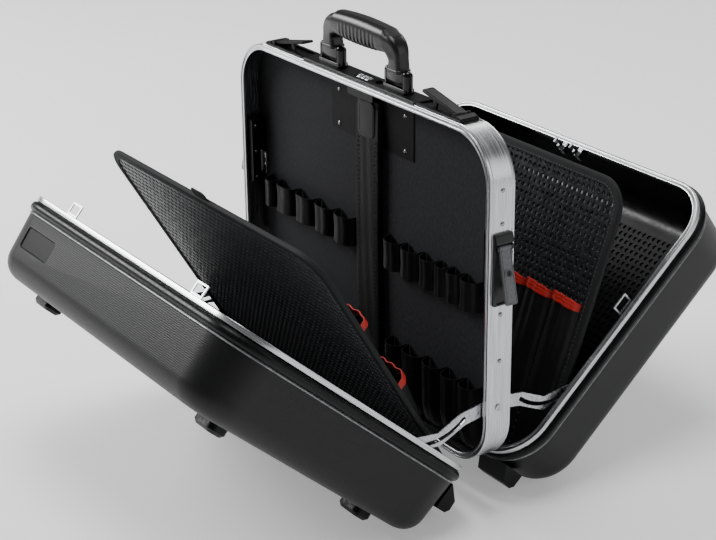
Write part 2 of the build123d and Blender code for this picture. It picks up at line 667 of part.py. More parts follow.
def lock_slide():
    """Sliding button that frees the lock, with finger ribs."""
    floor_z = PLATE_TOP_Z - TOP_PLATE_THICKNESS / 2 + 0.3
    half = SLIDE_WIDTH / 2
    end = SLIDE_START_X + SLIDE_LENGTH
    button = block(SLIDE_START_X, end, -half, half, floor_z, floor_z + SLIDE_HEIGHT)
    for i in range(3):
        x = SLIDE_START_X + SLIDE_LENGTH * (i + 1) / 4
        button -= block(x - 0.4, x + 0.4, -half, half, floor_z + SLIDE_HEIGHT - 0.7, floor_z + SLIDE_HEIGHT)
    return on_frame(button)


def handle_mount():
    """Clevis of one handle leg: low block with two round-topped ears, pivot along X."""
    ear_middle = HANDLE_FOOT_WIDTH / 2 + SIDE_PLAY + EAR_THICKNESS / 2
    reach = ear_middle + EAR_THICKNESS / 2
    half_y = EAR_DEPTH / 2
    mount = block(-reach, reach, -half_y - 1, half_y + 1, 0, MOUNT_BLOCK_HEIGHT)
    for side in (-1, 1):
        x0 = side * ear_middle - EAR_THICKNESS / 2
        face = Pos(0, (EAR_HEIGHT - half_y) / 2) * Rectangle(EAR_DEPTH, EAR_HEIGHT - half_y)
        face += Pos(0, EAR_HEIGHT - half_y) * Circle(half_y)
        ear = Pos(x0, 0, 0) * extrude(Plane.YZ * face, EAR_THICKNESS)
        crown = ear.edges().filter_by(GeomType.CIRCLE)
        mount += chamfer(crown, EAR_CHAMFER)
    bore = (-reach, 0, HANDLE_PIVOT_RISE), (reach, 0, HANDLE_PIVOT_RISE)
    return mount - rod(HANDLE_PIN_RADIUS, *bore)


def handle_mounts():
    """The two handle clevises on the plate."""
    mounts = [Pos(side * HANDLE_LEG_X, 0, PLATE_TOP_Z) * handle_mount() for side in (-1, 1)]
    return on_frame(Compound([solid for mount in mounts for solid in mount.solids()]))


def handle_arch(step):
    """Side view of the handle without its feet, drawn out to the depth of its legs."""
    outer_half = HANDLE_LEG_X + HANDLE_LEG_WIDTH / 2
    inner_half = HANDLE_LEG_X - HANDLE_LEG_WIDTH / 2
    under = HANDLE_END_RISE - GRIP_HEIGHT
    end = HANDLE_END_RISE
    top_arc = ThreePointArc((-outer_half, end), (0, HANDLE_TOP_RISE), (outer_half, end))
    belly = ThreePointArc((inner_half, under), (0, under - GRIP_BELLY), (-inner_half, under))
    foot_outer = outer_half + LEG_FLARE
    foot_inner = inner_half - LEG_FLARE
    right = Polyline((outer_half, end), (foot_outer, step), (foot_inner, step), (inner_half, under))
    left = Polyline((-inner_half, under), (-foot_inner, step), (-foot_outer, step), (-outer_half, end))
    outline = make_face([top_arc, right, belly, left])
    arch = extrude(Plane.XZ * outline, HANDLE_LEG_DEPTH / 2, both=True)
    upper = arch.edges().filter_by(Axis.Y).filter_by(lambda e: e.center().Z > step + 1)
    arch = fillet(upper.group_by(Axis.Z)[-1], GRIP_OUTER_RADIUS)
    inside = arch.edges().filter_by(Axis.Y).filter_by(
        lambda e: abs(e.center().Z - under) < 0.5 and abs(abs(e.center().X) - inner_half) < 0.5)
    return fillet(inside, GRIP_INNER_RADIUS)


def handle_barrel():
    """Bulged grip between the legs with cross ribs for the fingers under it."""
    half = HANDLE_LEG_X - HANDLE_LEG_WIDTH / 2 + LEG_FLARE
    middle = (HANDLE_END_RISE + HANDLE_TOP_RISE - GRIP_HEIGHT) / 2
    sections = []
    for x, scale in ((-half, GRIP_END_SCALE), (0, 1.0), (half, GRIP_END_SCALE)):
        z = middle - (1 - scale) * GRIP_EDGE_RADIUS
        outline = RectangleRounded(GRIP_DEPTH * scale, (GRIP_HEIGHT + 1) * scale, GRIP_EDGE_RADIUS * scale)
        sections.append(Plane(origin=(x, 0, z), x_dir=(0, 1, 0), z_dir=(1, 0, 0)) * outline)
    barrel = loft(sections, ruled=True)
    for index in range(FINGER_RIBS):
        x = (index - (FINGER_RIBS - 1) / 2) * FINGER_RIB_PITCH
        scale = 1 - (1 - GRIP_END_SCALE) * abs(x) / half
        z = middle - (1 - scale) * GRIP_EDGE_RADIUS - (GRIP_HEIGHT + 1) / 2 * scale
        barrel += Pos(x, 0, z) * Box(FINGER_RIB_WIDTH, FINGER_RIB_LENGTH * scale / 2, 2 * FINGER_RIB_PROUD)
    return barrel


def handle_grip():
    """Moulded handle: round-bottomed feet, flared legs and a bulged grip with finger ribs."""
    step = HANDLE_PIVOT_RISE + HANDLE_FOOT_RADIUS + 3
    handle = handle_arch(step) + handle_barrel()
    foot_half = HANDLE_FOOT_WIDTH / 2
    bore = HANDLE_PIN_RADIUS + PIN_CLEARANCE
    for side in (-1, 1):
        x = side * HANDLE_LEG_X
        ends = (x - foot_half, 0, HANDLE_PIVOT_RISE), (x + foot_half, 0, HANDLE_PIVOT_RISE)
        r = HANDLE_FOOT_RADIUS
        handle += block(x - foot_half, x + foot_half, -r, r, HANDLE_PIVOT_RISE, step + 2)
        handle += rod(r, *ends)
        handle -= rod(bore, *ends)
    return on_frame(Pos(0, 0, PLATE_TOP_Z) * handle)


def pivot_pins():
    """Pins of the handle and of the four levers."""
    pins = []
    reach = HANDLE_FOOT_WIDTH / 2 + SIDE_PLAY + EAR_THICKNESS
    for side in (-1, 1):
        x = side * HANDLE_LEG_X
        pins.append(rod(HANDLE_PIN_RADIUS, (x - reach, 0, HANDLE_PIVOT_Z), (x + reach, 0, HANDLE_PIVOT_Z)))
    half = LEVER_WIDTH / 2 + SIDE_PLAY + LATCH_EAR_THICKNESS
    lever_pin = rod(LATCH_PIN_RADIUS, (0, -half, LEVER_PIVOT_RISE), (0, half, LEVER_PIVOT_RISE))
    for location, _, _ in LATCHES.values():
        pins.append(location * lever_pin)
    return on_frame(Compound([solid for pin in pins for solid in pin.solids()]))


# ---------------------------------------------------------------- hinges


def knuckle_spans():
    """Start and end of each knuckle along one hinge, from its middle."""
    length = HINGE_LENGTH / KNUCKLES
    spans = []
    for i in range(KNUCKLES):
        start = -HINGE_LENGTH / 2 + i * length
        spans.append((start + KNUCKLE_GAP / 2, start + length - KNUCKLE_GAP / 2))
    return spans


def hinge_leaf(shell_side):
    """One leaf in tray axes: plate, lugs and its own knuckles round the axis."""
    half = HINGE_LENGTH / 2
    axis_v, axis_w = -HINGE_DROP, HINGE_OUT
    t = LEAF_THICKNESS
    if shell_side:
        seat = -LIP_PROUD
        near = axis_w + KNUCKLE_RADIUS + 0.4
        leaf = block(-half, half, seat - t, seat, near, LIP_END)
    else:
        seat = 0.0
        near = axis_w - KNUCKLE_RADIUS - 0.4
        leaf = block(-half, half, seat - t, seat, near - 12, near)
    spans = knuckle_spans()
    bore = HINGE_PIN_RADIUS + PIN_CLEARANCE
    for start, end in spans[1::2] if shell_side else spans[0::2]:
        knuckle = rod(KNUCKLE_RADIUS, (start, axis_v, axis_w), (end, axis_v, axis_w))
        lug_w = (near - 1.2, near + 0.8) if shell_side else (near - 0.8, near + 1.2)
        knuckle += block(start, end, axis_v, seat - t / 2, *lug_w)
        leaf += knuckle - rod(bore, (start - 1, axis_v, axis_w), (end + 1, axis_v, axis_w))
    return leaf


def frame_hinge_leaves():
    """Leaves screwed under the band, two along each face."""
    leaves = []
    for turn in (Rot(0, 0, 0), Rot(0, 0, 180)):
        for side in (-1, 1):
            closed = turn * Pos(0, -FACE_Y, 0) * Rot(90, 0, 0)
            leaves.append(closed * Pos(side * HINGE_CENTRE_X, 0, 0) * hinge_leaf(False))
    return on_frame(Compound([solid for leaf in leaves for solid in leaf.solids()]))


def shell_hinge_leaves(rear):
    """Leaves on the lip of one shell."""
    leaves = [Pos(side * HINGE_CENTRE_X, 0, 0) * hinge_leaf(True) for side in (-1, 1)]
    return tray_location(rear) * Compound([solid for leaf in leaves for solid in leaf.solids()])


def hinge_pins():
    """One pin through each hinge."""
    pins = []
    half = HINGE_LENGTH / 2
    for y in (-HINGE_Y, HINGE_Y):
        for side in (-1, 1):
            x = side * HINGE_CENTRE_X
            pins.append(rod(HINGE_PIN_RADIUS, (x - half, y, -HINGE_DROP), (x + half, y, -HINGE_DROP)))
    return on_frame(Compound([solid for pin in pins for solid in pin.solids()]))


# ---------------------------------------------------------------- tray shells


def drafted_tray(inset, depth, edge_radius):
    """Straight lip and drafted tray body with a rounded face edge, as a solid in tray axes."""
    lip = rounded_slab(inset, 0, LIP_END)
    outline = RectangleRounded(CASE_WIDTH - 2 * inset, CASE_HEIGHT - 2 * inset, CORNER_RADIUS - inset)
    body = extrude(outline, depth - LIP_END, taper=SHELL_DRAFT)
    body = fillet(body.faces().sort_by(Axis.Z)[-1].edges(), edge_radius)
    return lip + Pos(0, CASE_HEIGHT / 2, LIP_END) * body


def shell(rear):
    """Moulded tray shell with its proud lip; the front one has a shallow bare label recess."""
    bead = rounded_slab(-LIP_PROUD, LIP_START, LIP_END)
    middle = (LIP_START + LIP_END) / 2
    bead = fillet(bead.edges().filter_by(lambda e: abs(e.center().Z - middle) > 1), LIP_EDGE_RADIUS)
    body = drafted_tray(SHELL_INSET, SHELL_DEPTH, SHELL_EDGE_RADIUS) + bead
    inner_radius = SHELL_EDGE_RADIUS - SHELL_WALL
    body -= drafted_tray(WALL_INSET, SHELL_DEPTH - SHELL_WALL, inner_radius)
    body -= block(-CASE_WIDTH, CASE_WIDTH, -CASE_HEIGHT, 2 * CASE_HEIGHT, -1, RIM_CLEARANCE + RIM_SLOT_FLOOR)
    if not rear:
        top = CASE_HEIGHT - wall_inset_at(LABEL_CENTRE_W)
        tilt = Pos(LABEL_SIDE_INSET - HALF_WIDTH, top, LABEL_CENTRE_W) * Rot(SHELL_DRAFT, 0, 0)
        body -= tilt * Box(LABEL_LENGTH, 2 * LABEL_DEPTH, LABEL_WIDTH)
    return tray_location(rear) * body


def shell_rim(rear):
    """Grooved metal rim that caps the shell's edge, slotted for the moulded wall."""
    w0 = RIM_CLEARANCE
    rim = ring(0, BEAD_REACH, w0, w0 + RIM_DEPTH)
    groove_start = (BEAD_REACH - BEAD_GROOVE) / 2
    rim -= ring(groove_start, groove_start + BEAD_GROOVE, w0, w0 + BEAD_GROOVE_DEPTH)
    rim -= ring(SHELL_INSET, WALL_INSET, w0 + RIM_SLOT_FLOOR, w0 + RIM_DEPTH + 1)
    return tray_location(rear) * rim


def face_foot():
    """Bevelled foot moulded for lying the case flat, its seat on the local XY plane."""
    seated = (Align.CENTER, Align.CENTER, Align.MIN)
    foot = Box(FACE_FOOT_LENGTH, FACE_FOOT_WIDTH, FACE_FOOT_HEIGHT, align=seated)
    foot = fillet(foot.edges().filter_by(Axis.Z), FACE_FOOT_WIDTH / 3)
    return chamfer(foot.faces().sort_by(Axis.Z)[-1].edges(), FACE_FOOT_HEIGHT / 3)


def edge_foot():
    """Wedge foot under the closed case: it deepens away from the lip and ends in a rounded nose."""
    start_v = wall_inset_at(EDGE_FOOT_START_W)
    end_v = wall_inset_at(EDGE_FOOT_END_W)
    bottom = -EDGE_FOOT_DROP
    slope_end = EDGE_FOOT_START_W + EDGE_FOOT_SLOPE
    profile = [(start_v, EDGE_FOOT_START_W), (bottom, slope_end), (bottom, EDGE_FOOT_END_W - EDGE_FOOT_NOSE),
               (bottom + EDGE_FOOT_NOSE, EDGE_FOOT_END_W), (end_v, EDGE_FOOT_END_W)]
    face = Plane.YZ * make_face(Polyline(*profile, close=True))
    return extrude(face, EDGE_FOOT_WIDTH / 2, both=True)


def shell_feet(rear):
    """Feet of one shell: four on its face and two wedges under its lower wall."""
    feet = []
    for side in (-1, 1):
        for v in (FACE_FOOT_END_GAP, CASE_HEIGHT - FACE_FOOT_END_GAP):
            feet.append(Pos(side * (HALF_WIDTH - FACE_FOOT_SIDE_GAP), v, SHELL_DEPTH) * face_foot())
        feet.append(Pos(side * (HALF_WIDTH - EDGE_FOOT_SIDE_GAP), 0, 0) * edge_foot())
    return tray_location(rear) * Compound([solid for foot in feet for solid in foot.solids()])


def keeper():
    """Square keeper ring on its foot: x along the wall, y inset from it, z into the tray."""
    half = KEEPER_WIDTH / 2
    y0, y1 = KEEPER_INSET, KEEPER_INSET + KEEPER_THICKNESS
    plate = block(-half, half, y0, y1, -KEEPER_REACH, KEEPER_FOOT_END)
    open_half = half - KEEPER_BAR
    plate -= block(-open_half, open_half, y0 - 1, y1 + 1, KEEPER_BAR - KEEPER_REACH, -KEEPER_BAR)
    foot = block(-half, half, WALL_INSET, y0, LIP_START + RIM_LIP_GAP, KEEPER_FOOT_END)
    return plate + foot


def front_keepers():
    """Keepers of the top latches on the front shell's upper wall."""
    rings = [Pos(side * TOP_LATCH_KEEPER_X, CASE_HEIGHT, 0) * Rot(0, 0, 180) * keeper() for side in (-1, 1)]
    return tray_location(False) * Compound([solid for item in rings for solid in item.solids()])


def lock_hook():
    """Hook of the combination lock on the rear shell, as a plate with a caught nose."""
    half = LOCK_HOOK_THICKNESS / 2
    foot_end = KEEPER_FOOT_END + 2
    foot_start = LIP_START + RIM_LIP_GAP
    v0, v1 = LOCK_HOOK_V - LOCK_HOOK_HEIGHT / 2, LOCK_HOOK_V + LOCK_HOOK_HEIGHT / 2
    top = CASE_HEIGHT - WALL_INSET
    hook = block(-half, half, v0, v1, -LOCK_HOOK_REACH, foot_end)
    nose_end = LOCK_HOOK_NOSE - LOCK_HOOK_REACH
    hook -= block(-half - 1, half + 1, v0, v0 + LOCK_HOOK_MOUTH, nose_end, -LOCK_HOOK_MOUTH / 2)
    return hook + block(-half - 2, half + 2, v0, top, foot_start, foot_end)


def rear_keepers():
    """Side keepers and centre lock hooks of the rear shell."""
    items = []
    for side in (-1, 1):
        turn = Rot(0, 0, 90 * side)
        items.append(Pos(side * HALF_WIDTH, SIDE_KEEPER_Z, 0) * turn * keeper())
        items.append(Pos(side * LOCK_HOOK_X, 0, 0) * lock_hook())
    return tray_location(True) * Compound([solid for item in items for solid in item.solids()])


def shell_stay_pins(rear):
    """Headed pins on the shell's side walls that ride in the stays' slots."""
    stay_inset = REAR_STAY_INSET if rear else FRONT_STAY_INSET
    pins = []
    for side in (-1, 1):
        wall = side * (HALF_WIDTH - WALL_INSET)
        collar_end = side * (HALF_WIDTH - stay_inset + 0.3)
        head_start = side * (HALF_WIDTH - stay_inset - STAY_THICKNESS - 0.3)
        head_end = head_start - side * STAY_HEAD_THICKNESS
        pin = rod(STAY_PIN_RADIUS, (wall, STAY_PIN_V, STAY_PIN_W), (head_end, STAY_PIN_V, STAY_PIN_W))
        pin += rod(STAY_HEAD_RADIUS, (wall, STAY_PIN_V, STAY_PIN_W), (collar_end, STAY_PIN_V, STAY_PIN_W))
        pin += rod(STAY_HEAD_RADIUS, (head_start, STAY_PIN_V, STAY_PIN_W), (head_end, STAY_PIN_V, STAY_PIN_W))
        pins.append(pin)
    return tray_location(rear) * Compound([solid for pin in pins for solid in pin.solids()])


def pallet_hinge_tape(rear):
    """Textile tape that carries the pallet's lower edge on the shell's lower wall."""
    v = REAR_PALLET_V if rear else FRONT_PALLET_V
    w = REAR_PALLET_W if rear else FRONT_PALLET_W
    half_x = PALLET_WIDTH / 2 - HINGE_TAPE_MARGIN
    half_w = HINGE_TAPE_THICKNESS / 2
    start = wall_inset_at(w + half_w) + SHELL_WALL / cos(radians(SHELL_DRAFT)) + 0.05
    end = v + PALLET_EDGE_RISE - HINGE_TAPE_GAP
    return tray_location(rear) * block(-half_x, half_x, start, end, w - half_w, w + half_w)


def rear_floor_panel():
    """Lining panel glued on the rear shell's floor."""
    size_x = CASE_WIDTH - 2 * FLOOR_PANEL_MARGIN
    size_v = CASE_HEIGHT - 2 * FLOOR_PANEL_MARGIN
    top = SHELL_DEPTH - SHELL_WALL
    outline = RectangleRounded(size_x, size_v, CORNER_RADIUS - FLOOR_PANEL_MARGIN / 2)
    panel = extrude(outline, FLOOR_PANEL_THICKNESS)
    return tray_location(True) * Pos(0, CASE_HEIGHT / 2, top - FLOOR_PANEL_THICKNESS) * panel


# ---------------------------------------------------------------- lid stays


def stay_pin_place(closing):
    """Place of a shell's stay pin beside the frame's pivot after closing by an angle."""
    angle = radians(OPEN_ANGLE - closing)
    out = STAY_PIN_W - HINGE_OUT
    up = STAY_PIN_V + HINGE_DROP
    y = HINGE_Y + out * cos(angle) + up * sin(angle)
    z = up * cos(angle) - out * sin(angle) - HINGE_DROP - STAY_PIVOT_Z
    return y, z


def stay_angle(closing):
    """Angle of the line from the frame's pivot to the shell's pin above the horizontal."""
    y, z = stay_pin_place(closing)
    return degrees(atan2(z, y))


STAY_TURN = stay_angle(OPEN_ANGLE) - stay_angle(0)
STAY_RATIO = STAY_TURN / OPEN_ANGLE


def stay_slot_points(steps=10):
    """Centres of the slot: the pin's path as the stay turns at a steady share of the shell's angle."""
    points = []
    for i in range(steps + 1):
        closing = OPEN_ANGLE * i / steps
        turned = radians(STAY_TURN * i / steps)
        y, z = stay_pin_place(closing)
        points.append((y * cos(turned) + z * sin(turned), z * cos(turned) - y * sin(turned)))
    return points


def capsule_chain(points, width):
    """Flat strip with round ends and joints along a list of points."""
    sketch = None
    for (x0, y0), (x1, y1) in zip(points, points[1:]):
        length = hypot(x1 - x0, y1 - y0)
        slot = SlotCenterToCenter(length, width)
        placed = Pos((x0 + x1) / 2, (y0 + y1) / 2) * Rot(0, 0, degrees(atan2(y1 - y0, x1 - x0))) * slot
        sketch = placed if sketch is None else sketch + placed
    return sketch


def lid_stay(rear, right):
    """Dog-leg lid stay with its pivot hole and its curved slot."""
    slot = stay_slot_points()
    legs = [(0.0, 0.0), slot[-1], slot[len(slot) // 2], slot[0]]
    strip = capsule_chain(legs, STAY_WIDTH) - capsule_chain(slot, STAY_SLOT_WIDTH)
    strip -= Circle(STAY_PIVOT_RADIUS + PIN_CLEARANCE)
    standing = extrude(Plane.YZ * strip, STAY_THICKNESS)
    inset = REAR_STAY_INSET if rear else FRONT_STAY_INSET
    side = 1 if right else -1
    if not rear:
        standing = mirror(standing, Plane.XZ)
    x = side * (HALF_WIDTH - inset) - (STAY_THICKNESS if right else 0)
    return on_frame(Pos(x, 0, STAY_PIVOT_Z) * standing)


# ---------------------------------------------------------------- pallets


def pallet_outline(inset):
    """Outline of a pallet in its own axes, its lower edge on the hinge line."""
    size = (PALLET_WIDTH - 2 * inset, PALLET_HEIGHT - 2 * inset)
    return Pos(0, PALLET_HEIGHT / 2 + PALLET_EDGE_RISE) * RectangleRounded(*size, PALLET_CORNER - inset)


def pallet_board(rear):
    """Perforated pallet board, without its holes."""
    board = extrude(pallet_outline(1.0), PALLET_THICKNESS / 2, both=True)
    return pallet_location(rear) * board


def pallet_binding(rear):
    """Bound edge round the pallet; the front one carries a pull tab at its top edge."""
    band = extrude(pallet_outline(0) - pallet_outline(BINDING_WIDTH), BINDING_THICKNESS / 2, both=True)
    band -= extrude(pallet_outline(1.0), PALLET_THICKNESS / 2, both=True)
    if not rear:
        top = PALLET_HEIGHT + PALLET_EDGE_RISE
        band += block(-TAB_WIDTH / 2, TAB_WIDTH / 2, top - 1, top + TAB_HEIGHT, -0.8, 0.8)
    return pallet_location(rear) * band


def pocket_rows(rear):
    """Rows of pockets on a pallet: count, foot and mouth along the board, foot and mouth bulge."""
    foot = BINDING_WIDTH + 3 * POCKET_GAP
    if rear:
        return [(REAR_POCKET_COUNT, foot, REAR_MOUTH, POCKET_FOOT_THICKNESS, REAR_BULGE)]
    return [
        (FRONT_POCKET_COUNT, foot, FRONT_LOW_MOUTH, POCKET_FOOT_THICKNESS, FRONT_LOW_BULGE),
        (FRONT_POCKET_COUNT, FRONT_LOW_MOUTH + ELASTIC_HEIGHT + POCKET_GAP, FRONT_HIGH_MOUTH,
         POCKET_FOOT_THICKNESS, FRONT_HIGH_BULGE),
    ]


def pocket_spans(count):
    """Start and end along X of each sewn pocket of a row."""
    half = PALLET_WIDTH / 2 - BINDING_WIDTH - POCKET_EDGE_GAP
    pitch = 2 * half / count
    return [(i * pitch - half, (i + 1) * pitch - half - POCKET_GAP) for i in range(count)]


def pallet_pockets(rear):
    """Sewn pockets on the pallet's side towards the frame, each swelling towards its mouth."""
    t0 = -PALLET_THICKNESS / 2
    pockets = []
    for count, foot, mouth, foot_bulge, mouth_bulge in pocket_rows(rear):
        profile = [(foot, t0), (foot, t0 - foot_bulge), (mouth, t0 - mouth_bulge), (mouth, t0)]
        section = Plane.YZ * make_face(Polyline(*profile, close=True))
        for x0, x1 in pocket_spans(count):
            pockets.append(Pos(x0, 0, 0) * extrude(section, x1 - x0))
    return pallet_location(rear) * Compound([solid for pocket in pockets for solid in pocket.solids()])


def pallet_elastics(rear):
    """Elastic hems along the pockets' mouths, drawn in at both ends of each pocket."""
    t0 = -PALLET_THICKNESS / 2
    hems = []
    for count, _, mouth, _, bulge in pocket_rows(rear):
        top = bulge + ELASTIC_PROUD
        for x0, x1 in pocket_spans(count):
            ease = (x1 - x0) / 4
            plan = [(x0, t0), (x0, t0 - top / 2), (x0 + ease, t0 - top), (x1 - ease, t0 - top),
                    (x1, t0 - top / 2), (x1, t0)]
            section = Plane.XZ * make_face(Polyline(*plan, close=True))
            hems.append(Pos(0, mouth, 0) * extrude(section, -ELASTIC_HEIGHT))
    return pallet_location(rear) * Compound([solid for hem in hems for solid in hem.solids()])


# ---------------------------------------------------------------- assembly

POCKET_HEIGHT = POCKET_TOP - POCKET_LOW
LEFT_LOOP_START = LEFT_LOOP_SIDE_GAP - HALF_WIDTH
LEFT_LOOP_PITCHES = shared_pitches(-LEFT_LOOP_START - LEFT_LOOP_MIDDLE_GAP, LEFT_LOOP_SHARES)
RIGHT_LOOP_START = RIGHT_LOOP_MIDDLE_GAP
RIGHT_LOOP_PITCHES = shared_pitches(HALF_WIDTH - RIGHT_LOOP_SIDE_GAP - RIGHT_LOOP_START, RIGHT_LOOP_SHARES)
POCKET_PITCHES = shared_pitches(HALF_WIDTH - POCKET_SIDE_GAP - POCKET_START, POCKET_SHARES)


def frame_nodes():
    """Pieces fixed to the middle frame."""
    left_pitches = LEFT_LOOP_PITCHES[::-1]
    loop = (LOOP_LOW, LOOP_HEIGHT, LOOP_BULGE)
    pocket = (POCKET_LOW, POCKET_HEIGHT, POCKET_BULGE)
    return {
        "frame_band": frame_band(),
        "rivets": rivets(),
        "tool_board": tool_board(),
        "board_plate": board_plate(),
        "centre_strap": centre_strap(),
        "left_tool_loops": webbing_strip(LEFT_LOOP_MIDDLE_GAP, left_pitches, -1, *loop),
        "right_tool_loops": webbing_strip(RIGHT_LOOP_START, RIGHT_LOOP_PITCHES, 1, *loop),
        "left_tool_pockets": webbing_strip(POCKET_START, POCKET_PITCHES, -1, *pocket),
        "right_tool_pockets": webbing_strip(POCKET_START, POCKET_PITCHES, 1, *pocket),
        "latch_housings": latch_housings(),
        "lock_housing": lock_housing(),
        "wheel_axle": wheel_axle(),
        "handle_plate": handle_plate(),
        "handle_mounts": handle_mounts(),
        "pivot_pins": pivot_pins(),
        "top_latch_bases": latch_bases("top"),
        "side_latch_bases": latch_bases("side"),
        "stay_pivots": frame_stay_pivots(),
        "frame_hinge_leaves": frame_hinge_leaves(),
        "hinge_pins": hinge_pins(),
    }


def hardware_nodes():
    """Moving pieces of the handle, the latches and the lock, and the lid stays."""
    nodes = {"handle_grip": handle_grip(), "lock_slide": lock_slide()}
    for name in LATCHES:
        nodes[f"{name}_lever"] = latch_lever(name)
        if name.startswith("side"):
            nodes[f"{name}_lock_plug"] = lock_plug(name)
    for index in range(WHEEL_COUNT):
        nodes[f"number_wheel_{index + 1}"] = number_wheel(index)
    for shell_name in ("front", "rear"):
        for side_name in ("left", "right"):
            nodes[f"{shell_name}_{side_name}_stay"] = lid_stay(shell_name == "rear", side_name == "right")
    return nodes


def tray_nodes(name):
    """Pieces of one shell and of its pallet."""
    rear = name == "rear"
    return {
        f"{name}_shell": shell(rear),
        f"{name}_rim": shell_rim(rear),
        f"{name}_feet": shell_feet(rear),
        f"{name}_keepers": rear_keepers() if rear else front_keepers(),
        f"{name}_hinge_leaves": shell_hinge_leaves(rear),
        f"{name}_stay_pins": shell_stay_pins(rear),
        f"{name}_pallet_tape": pallet_hinge_tape(rear),
        f"{name}_pallet_board": pallet_board(rear),
        f"{name}_pallet_binding": pallet_binding(rear),
        f"{name}_pallet_pockets": pallet_pockets(rear),
        f"{name}_pallet_elastics": pallet_elastics(rear),
    }


def write_parts():
    """Write one file for each node."""
    os.makedirs("parts", exist_ok=True)
    nodes = frame_nodes() | hardware_nodes() | tray_nodes("front") | tray_nodes("rear")
    nodes["rear_floor_panel"] = rear_floor_panel()
    for name, part in nodes.items():
        export_step(part, f"parts/{name}.step")


write_parts()
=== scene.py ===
import math
import random

import bmesh
import bpy
from mathutils import Matrix, Vector


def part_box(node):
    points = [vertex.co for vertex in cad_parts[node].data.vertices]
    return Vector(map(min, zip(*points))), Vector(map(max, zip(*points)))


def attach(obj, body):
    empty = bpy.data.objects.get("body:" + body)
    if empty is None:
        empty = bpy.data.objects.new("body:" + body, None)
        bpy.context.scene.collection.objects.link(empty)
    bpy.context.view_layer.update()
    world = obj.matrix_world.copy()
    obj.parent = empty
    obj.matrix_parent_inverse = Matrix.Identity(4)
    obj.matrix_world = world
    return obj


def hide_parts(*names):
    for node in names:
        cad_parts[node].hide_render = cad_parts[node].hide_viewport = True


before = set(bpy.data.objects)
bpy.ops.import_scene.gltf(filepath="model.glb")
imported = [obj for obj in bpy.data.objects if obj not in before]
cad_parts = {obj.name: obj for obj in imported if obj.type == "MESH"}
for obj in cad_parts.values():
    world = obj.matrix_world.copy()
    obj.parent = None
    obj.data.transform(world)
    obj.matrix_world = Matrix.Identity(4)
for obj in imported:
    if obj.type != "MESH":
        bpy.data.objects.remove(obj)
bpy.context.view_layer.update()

bl_info = {
    "name": "Hard Tool Case Looks",
    "version": (1, 0, 0),
    "blender": (4, 5, 0),
    "location": "View3D > Sidebar > Tool Case",
    "description": "Builds the visible surfaces of an open hard tool case around its fixed frame",
    "category": "Object",
}

# Lengths in the builders are millimetres and are turned to metres when a piece is finished.
MM = 0.001
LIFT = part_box("frame_band")[0].z / MM
CASE_WIDTH = 480.0
CASE_HEIGHT = 375.0
CORNER_RADIUS = 56.0
HALF_WIDTH = CASE_WIDTH / 2
FRAME_HALF_DEPTH = 16.0
BOARD_FRONT_Y = 9.0
PLATE_TOP_Z = 378.0
PALLET_SIZE = (440.0, 335.0)
PALLET_CORNER = 40.0
PALLET_EDGE_RISE = 1.5
BINDING_WIDTH = 11.0


# ---------------------------------------------------------------- placing


def shift(x, y, z):
    return Matrix.Translation((x, y, z))


def turn(angle, axis):
    return Matrix.Rotation(math.radians(angle), 4, axis)


# Frame axes: x along the case, y through it, z up from the closed case's underside.
STANDING = shift(0, 0, LIFT)
# Tray axes: x along the case, v up the closed case, w out of the frame's face.
OPENED = shift(0, -17, -7) @ turn(48.4, "X") @ shift(0, 17, 7) @ shift(0, -16, 0) @ turn(90, "X")
TRAYS = {"front": STANDING @ OPENED, "rear": STANDING @ turn(180, "Z") @ OPENED}
# Pallet axes: x along the case, s up the pallet, t towards its shell.
PALLETS = {
    "front": TRAYS["front"] @ shift(0, 10, 15) @ turn(-18, "X"),
    "rear": TRAYS["rear"] @ shift(0, 16, 65) @ turn(-28.5, "X"),
}
BAND_AXES = STANDING @ turn(90, "X")
# Latch axes: a from the lever's pivot to its free end, b across, c out of the band.
LATCHES = {
    "top_left": (STANDING @ shift(-171.5, 0, 375), -1, 12),
    "top_right": (STANDING @ shift(171.5, 0, 375) @ turn(180, "Z"), 1, 12),
    "side_left": (STANDING @ shift(-240, 0, 258) @ turn(180, "Z") @ turn(90, "Y"), -1, 13),
    "side_right": (STANDING @ shift(240, 0, 258) @ turn(90, "Y"), 1, 13),
}
LEVER_PIVOT_RISE = 4.3


def raised(name):
    place, _, angle = LATCHES[name]
    return place @ shift(0, 0, LEVER_PIVOT_RISE) @ turn(-angle, "Y") @ shift(0, 0, -LEVER_PIVOT_RISE)


# ---------------------------------------------------------------- colours and materials


def chosen():
    """The settings shown in the panel."""
    return bpy.context.scene.tool_case


def linear(code):
    """Linear colour of an sRGB hex code; a colour setting is linear already."""
    if not isinstance(code, str):
        return tuple(code)
    values = [int(code[i:i + 2], 16) / 255 for i in (1, 3, 5)]
    return tuple(v / 12.92 if v <= 0.04045 else ((v + 0.055) / 1.055) ** 2.4 for v in values)


def add(tree, kind, inputs=None, **settings):
    """Adds a node with its settings, values and links."""
    node = tree.nodes.new(kind)
    for name, value in settings.items():
        setattr(node, name, value)
    for name, value in (inputs or {}).items():
        if isinstance(value, bpy.types.NodeSocket):
            tree.links.new(value, node.inputs[name])
        else:
            node.inputs[name].default_value = value
    return node


